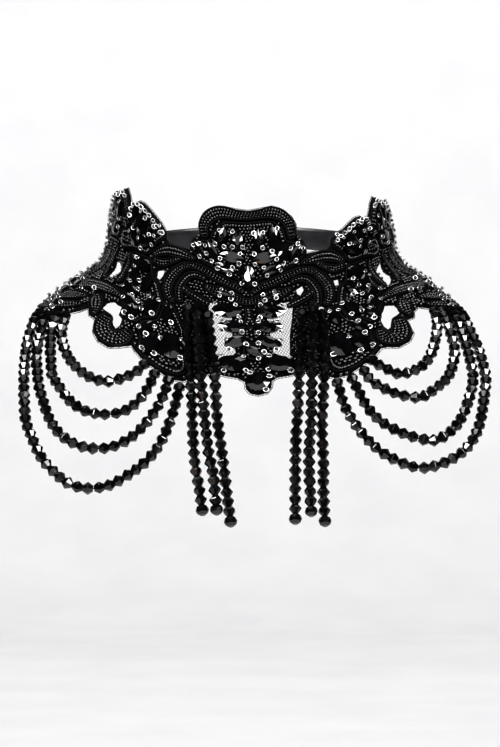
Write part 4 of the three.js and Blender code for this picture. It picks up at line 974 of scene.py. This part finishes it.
# Places that each swag's thread runs through, from the shoulder round to the lower cluster: s, t.
SWAGS = {
    "left": [
        [(-76.8, -49), (-73.6, -53.8), (-69.8, -61.4), (-63.3, -69.8), (-57.9, -74.3), (-52.5, -76.3),
         (-47.1, -74.5), (-42.6, -67.6), (-39.6, -60.6), (-39.6, -55.6)],
        [(-81, -51.2), (-77.2, -56.2), (-73.6, -62.8), (-69.3, -70.7), (-65.4, -77.8), (-62.3, -84.2),
         (-57.9, -88.8), (-53.5, -93.1), (-48.5, -94.6), (-43.7, -92.1), (-39.2, -86.1), (-36.3, -76.3),
         (-35, -65.2), (-35.2, -58.6)],
        [(-85, -53.2), (-80.8, -58.8), (-76.8, -65.6), (-73.3, -73.4), (-69.8, -80.4), (-66.4, -86.4),
         (-63.4, -92.6), (-59.5, -99.4), (-55.6, -106.5), (-51.8, -111.4), (-47.5, -113.6), (-43, -112.2),
         (-38.6, -107), (-35, -98.4), (-32.4, -87.7), (-30.6, -76.7), (-29.8, -65.6), (-30.2, -59.8)],
        [(-89.8, -54.2), (-84.6, -61.4), (-80, -69.6), (-76, -77.2), (-72.4, -84), (-69.2, -90.8),
         (-66.2, -97.6), (-63.2, -104.8), (-59.8, -113.6), (-57.2, -118.4), (-52.1, -127.6), (-48.3, -131.9),
         (-44.4, -134.7), (-40.4, -133.4), (-36.4, -127.9), (-33.1, -119.4), (-30, -109.9), (-27.7, -99.5),
         (-26.4, -88), (-25.8, -76.8), (-25.6, -67.7), (-26, -62)]],
    "right": [
        [(78.6, -45.8), (74.4, -52.4), (68.9, -60.3), (60.5, -70.9), (54.9, -73.5), (49.8, -71.7),
         (46.4, -64.2), (44.6, -60.4), (45, -56.4)],
        [(82.6, -47.6), (77.4, -56), (73.2, -64.3), (70.2, -71.7), (66.6, -78.2), (61.6, -84.9),
         (56.7, -87.6), (51.8, -88.7), (47.7, -83.7), (44.2, -77), (41.2, -68.7), (40.8, -60)],
        [(86.4, -50.2), (80.8, -58.4), (76.8, -66.9), (73.4, -75.5), (70.2, -84), (66.8, -92.8),
         (61.4, -102.3), (57.7, -108.3), (53.9, -112.4), (49.4, -113.7), (45.9, -108.8), (42.7, -102),
         (39.5, -93.3), (37.4, -83.3), (36.5, -71.5), (36.2, -61.8)],
        [(90.2, -52.4), (84.2, -60.8), (80, -69.4), (76.8, -78.2), (73.4, -86.8), (70, -95.6), (66.2, -103),
         (62.4, -111.2), (59.1, -118), (55.5, -123.5), (51.6, -126.4), (46.7, -126.6), (42.9, -123.7),
         (39.7, -117), (36.8, -109.2), (34.4, -99.7), (32.5, -89.1), (31.1, -77.3), (31.1, -67.6),
         (31.2, -61.8)]]}
# Places that each fringe's thread runs through, from its stitch down: s, t, h.
FRINGES = {
    "fringe_outer_left": [
        (-29.4, -19.8, 1.7), (-29, -21.8, 5.6), (-25.6, -42.7, 6.4), (-22.6, -58, 6), (-20.6, -71.1, 5),
        (-18.6, -88.8, 4.4), (-16.6, -105.1, 4.4), (-14.8, -115.9, 4.4), (-12.9, -130.2, 4.4)],
    "fringe_middle_left": [
        (-24.4, -18.4, 1.7), (-24.3, -19.8, 5.4), (-24.2, -22, 9.4), (-21, -43.4, 11), (-17.9, -64.6, 10.6),
        (-15.2, -83.4, 9.6), (-13, -99.8, 9), (-11.2, -110.3, 9), (-9.2, -131.2, 9)],
    "fringe_inner_left": [
        (-20, -21.4, 1.7), (-19.8, -23, 5.4), (-16.6, -38, 6.4), (-14.4, -52, 6.2), (-13.3, -60, 5.6),
        (-11.7, -75.8, 4.4), (-9.5, -92.3, 4.4), (-7.7, -108.8, 4.4), (-5.2, -134.6, 4.4)],
    "fringe_inner_right": [
        (24, -21, 1.7), (23.8, -22.6, 5.6), (21.2, -37, 6.2), (18.4, -56.4, 6), (16.3, -74.9, 4.6),
        (14.5, -90.9, 4.4), (12.9, -114.3, 4.4), (11.9, -134.6, 4.4)],
    "fringe_middle_right": [
        (28.3, -18.4, 1.7), (28.2, -19.8, 5.8), (28, -22.2, 11), (25.2, -40.8, 12.2), (22.4, -62, 11.2),
        (20.3, -80.7, 9.8), (18.4, -96, 9.2), (17.2, -110.4, 9), (16.2, -134.2, 9)],
    "fringe_outer_right": [
        (32.8, -21.8, 1.7), (32.7, -23, 5.6), (32.4, -25.6, 6.8), (30.1, -41.8, 7.2), (26.6, -63, 6.2),
        (23.2, -85, 4.8), (21.6, -105, 4.4), (20.2, -120, 4.4), (19.2, -138.6, 4.4)]}

# Machine-cut black glass with softly polished facets, which mirror the lights as dull grey planes.
CUT_GLASS = mottled("machine_cut_black_glass", 6, (0x040405, 0x0b0b0d), (0.1, 0.2),
                    {"Specular IOR Level": 0.38, "IOR": 1.56}, ends=(0.35, 0.65))

# A bicone and a round bead about the x axis.
BICONE_SHAPE = turned([(-2.58, 1.5), (-0.26, BICONE), (0.26, BICONE), (2.58, 1.5)], 8)
ROUND_SHAPE = turned([(-2.6, 1.3), (-1.5, 2.7), (0, 3.2), (1.5, 2.7), (2.6, 1.3)], 10)


def strand_parts(rows, rng, round_ends):
    """Beads a pitch apart along the thread, each spun by chance about it, and the thread itself. The
    last bead of a fringe is a round one."""
    route = evenly(through(rows, per_span=24), 0.5, axes=3)
    places = on_form(route)
    line = evenly(np.column_stack([places, outward(route[:, 0], route[:, 1])]), 0.5 * MM, axes=3)
    total = np.linalg.norm(np.diff(line[:, :3], axis=0), axis=1).sum() / MM
    count = round(total / BICONE_PITCH)
    at = ((np.arange(count) + 0.5) / count * (len(line) - 1)).round().astype(int)
    forward = heading(line[:, :3])
    across = np.cross(line[:, 3:], forward)
    across /= np.linalg.norm(across, axis=1, keepdims=True)
    out = np.cross(forward, across)
    spin = rng.uniform(0, np.pi / 4, count)[:, None]
    a, b = across[at], out[at]
    axes = np.stack([forward[at], np.cos(spin) * a + np.sin(spin) * b,
                     np.cos(spin) * b - np.sin(spin) * a], axis=-1)
    sizes = MM * rng.uniform(0.97, 1.02, count)[:, None]
    cut = count - round_ends
    beads = [copies(BICONE_SHAPE, line[at[:cut], :3], axes[:cut], sizes[:cut])]
    if round_ends:
        beads.append(copies(ROUND_SHAPE, line[at[cut:], :3], axes[cut:], sizes[cut:]))
    thread = tubes(line[::3, :3], np.full((len(line[::3]), 5), THREAD * MM), across[::3], out[::3])
    return [(*some, CUT_GLASS, False) for some in beads] + [(*thread, RAYON, True)]


strands = {}
for side, lines in SWAGS.items():
    for number, (start, line) in enumerate(zip(SWAG_START[side], lines), 1):
        heights = [start, *[SWAG_HEIGHT] * (len(line) - 2), SWAG_END]
        strands[f"swag_{number}_{side}"] = raised_to(line, heights)
strands.update(FRINGES)
for seed, (name, rows) in enumerate(strands.items()):
    strung = strand_parts(rows, np.random.default_rng(300 + seed), int(name in FRINGES))
    make_piece(f"{name}_strung", strung, name)

# ---- ribbon and clasp ----
# A plain black satin ribbon is sewn to each end of the lace, carries on round the back of the neck and
# meets in one flat plated clasp.

RIBBON_WIDTH = 12
RIBBON_THICKNESS = 1.2

# Woven polyester satin: a soft broad sheen over lengthways threads, which are too fine to show and so
# are drawn as ribs 2.2 mm apart.
SATIN = mottled("woven_polyester_satin", 6, (0x0e0d0f, 0x1a191c), (0.34, 0.46),
                {"Sheen Weight": 0.4, "Sheen Roughness": 0.3}, bump=(0.35, 0.05), ribs=2.2)
# Black-plated zinc, tumbled before plating: dark metal with a soft gloss.
PLATED = mottled("black_plated_zinc", 1.2, (0x232326, 0x3a3a3e), (0.28, 0.42), {"Metallic": 1.0},
                 detail=3.0, bump=(0.2, 0.04))


def rounded_band(s, half_width, low, high, ends=1.0):
    """A band along s whose cross-section is the superellipse |t/w|^5 + |h/d|^5 = 1, scaled by ends."""
    a = np.arange(20) * np.pi / 10
    depth = (high - low) / 2
    angle = np.arctan2(np.sin(a) * depth / half_width, np.cos(a))
    reach = (np.abs(np.cos(angle) / half_width) ** 5 + np.abs(np.sin(angle) / depth) ** 5) ** (-1 / 5)
    centre = np.column_stack([s, 0 * s, np.full(len(s), (high + low) / 2)])
    radii = np.broadcast_to(ends, len(s))[:, None] * reach
    points, faces = tubes(centre, radii, (0, 1, 0), a=angle)
    return on_form(points), faces


for side, start, end in (("left", -215.2, -115.5), ("right", 112.7, 215.2)):
    band = rounded_band(np.linspace(start, end, 90), RIBBON_WIDTH / 2, 0, RIBBON_THICKNESS)
    ribbon = make_piece(f"ribbon_{side}_satin", [(*band, SATIN, True)], f"ribbon_{side}")

# The clasp's two halves meet in a groove at its middle, and its ends are rounded: s and size there.
clasp_s = np.array([-4.3, -4.1, -3.6, -1.2, -0.9, -0.6, 0, 0.6, 0.9, 1.2, 3.6, 4.1, 4.3])
clasp_s = np.pi * ARC_RADIUS + clasp_s
clasp_ends = np.array([0.8, 0.94, 1, 1, 0.94, 1, 1, 1, 0.94, 1, 1, 0.94, 0.8])
clasp = rounded_band(clasp_s, 5.5, -0.6, 2.2, clasp_ends)
make_piece("clasp_plated", [(*clasp, PLATED, True)], "clasp")

# ---- studio ----
# A plain pale paper floor sweeps up behind, soft boxes light it from above to both sides, and a level
# camera stands in front.

# Seamless pale background paper: matt and very slightly mottled.
PAPER = mottled("pale_background_paper", 120, (0xf3f3f4, 0xf8f8f8), 0.9)

floor_height = cad_box[0].z - 0.3
bend = np.radians(np.linspace(-90, 0, 16))
sweep = np.vstack([
    [(-1.35, floor_height), (2.6, floor_height)],
    np.column_stack([2.6 + 0.8 * np.cos(bend), floor_height + 0.8 + 0.8 * np.sin(bend)]),
    [(3.4, 3.0)],
])
across = np.array([-4.0, 4.0])
paper = np.array([[(x, y, z) for x in across] for y, z in sweep]).reshape(-1, 3)
i = np.arange(len(sweep) - 1)[:, None] * 2
paper_faces = np.hstack([i, i + 1, i + 3, i + 2])
paper_mesh = bpy.data.meshes.new("floor")
paper_mesh.from_pydata(paper.tolist(), [], paper_faces.tolist())
paper_mesh.materials.append(PAPER)
paper_mesh.shade_smooth()
floor = bpy.data.objects.new("floor", paper_mesh)
bpy.context.scene.collection.objects.link(floor)


def soft_box(name, place, target, size, power, tint=0xffffff):
    """A square area light that faces its target."""
    light = bpy.data.lights.new(name, "AREA")
    light.size = size
    light.energy = power
    light.color = linear(tint)[:3]
    made = bpy.data.objects.new(name, light)
    bpy.context.scene.collection.objects.link(made)
    made.location = place
    towards = np.array(target) - np.array(place)
    flat = np.hypot(towards[0], towards[1])
    made.rotation_euler = (np.arctan2(flat, -towards[2]), 0, np.arctan2(towards[1], towards[0]) - np.pi / 2)


middle = (0, -0.05, -0.02)
soft_box("soft_box_left", (-0.55, -0.85, 0.55), middle, 0.4, 16)
soft_box("soft_box_right", (0.6, -0.8, 0.5), middle, 0.4, 13.5)
soft_box("soft_box_top", (0.0, 0.3, 1.4), middle, 0.8, 6)
soft_box("front_card", (0.0, -1.9, 1.3), middle, 1.2, 7)
soft_box("soft_box_low", (-0.3, -1.6, -0.5), middle, 0.3, 0.6, 0xffd9b8)
soft_box("backdrop_left", (-1.3, 1.3, 1.5), (-0.8, 3.4, 0.5), 1.2, 18.5)
soft_box("backdrop_right", (1.3, 1.3, 1.5), (0.8, 3.4, 0.5), 1.2, 18.5)

world = bpy.data.worlds.new("studio")
bpy.context.scene.world = world
world.use_nodes = True
# The room is dim, so that black glass stays black in it, but the air past the paper is seen pale.
dim = world.node_tree.nodes["Background"]
dim.inputs["Color"].default_value = linear(0xf4f4f6)
dim.inputs["Strength"].default_value = 0.04
pale = add_node(world, "ShaderNodeBackground", {"Color": linear(0xf4f4f6), "Strength": 0.8})
seen = add_node(world, "ShaderNodeLightPath")
room = add_node(world, "ShaderNodeMixShader", {0: seen.outputs["Is Camera Ray"], 1: dim.outputs[0],
                                               2: pale.outputs[0]})
world.node_tree.links.new(room.outputs[0], world.node_tree.nodes["World Output"].inputs["Surface"])

bpy.context.scene.view_settings.view_transform = "Standard"
bpy.context.scene.view_settings.look = "High Contrast"

lens = bpy.data.cameras.new("camera")
lens.sensor_width = 36
lens.lens = 138.2
camera = bpy.data.objects.new("camera", lens)
bpy.context.scene.collection.objects.link(camera)
camera.location = (-0.0003, -1.5, -0.03675)
camera.rotation_euler = (np.pi / 2, 0, 0)
bpy.context.scene.camera = camera
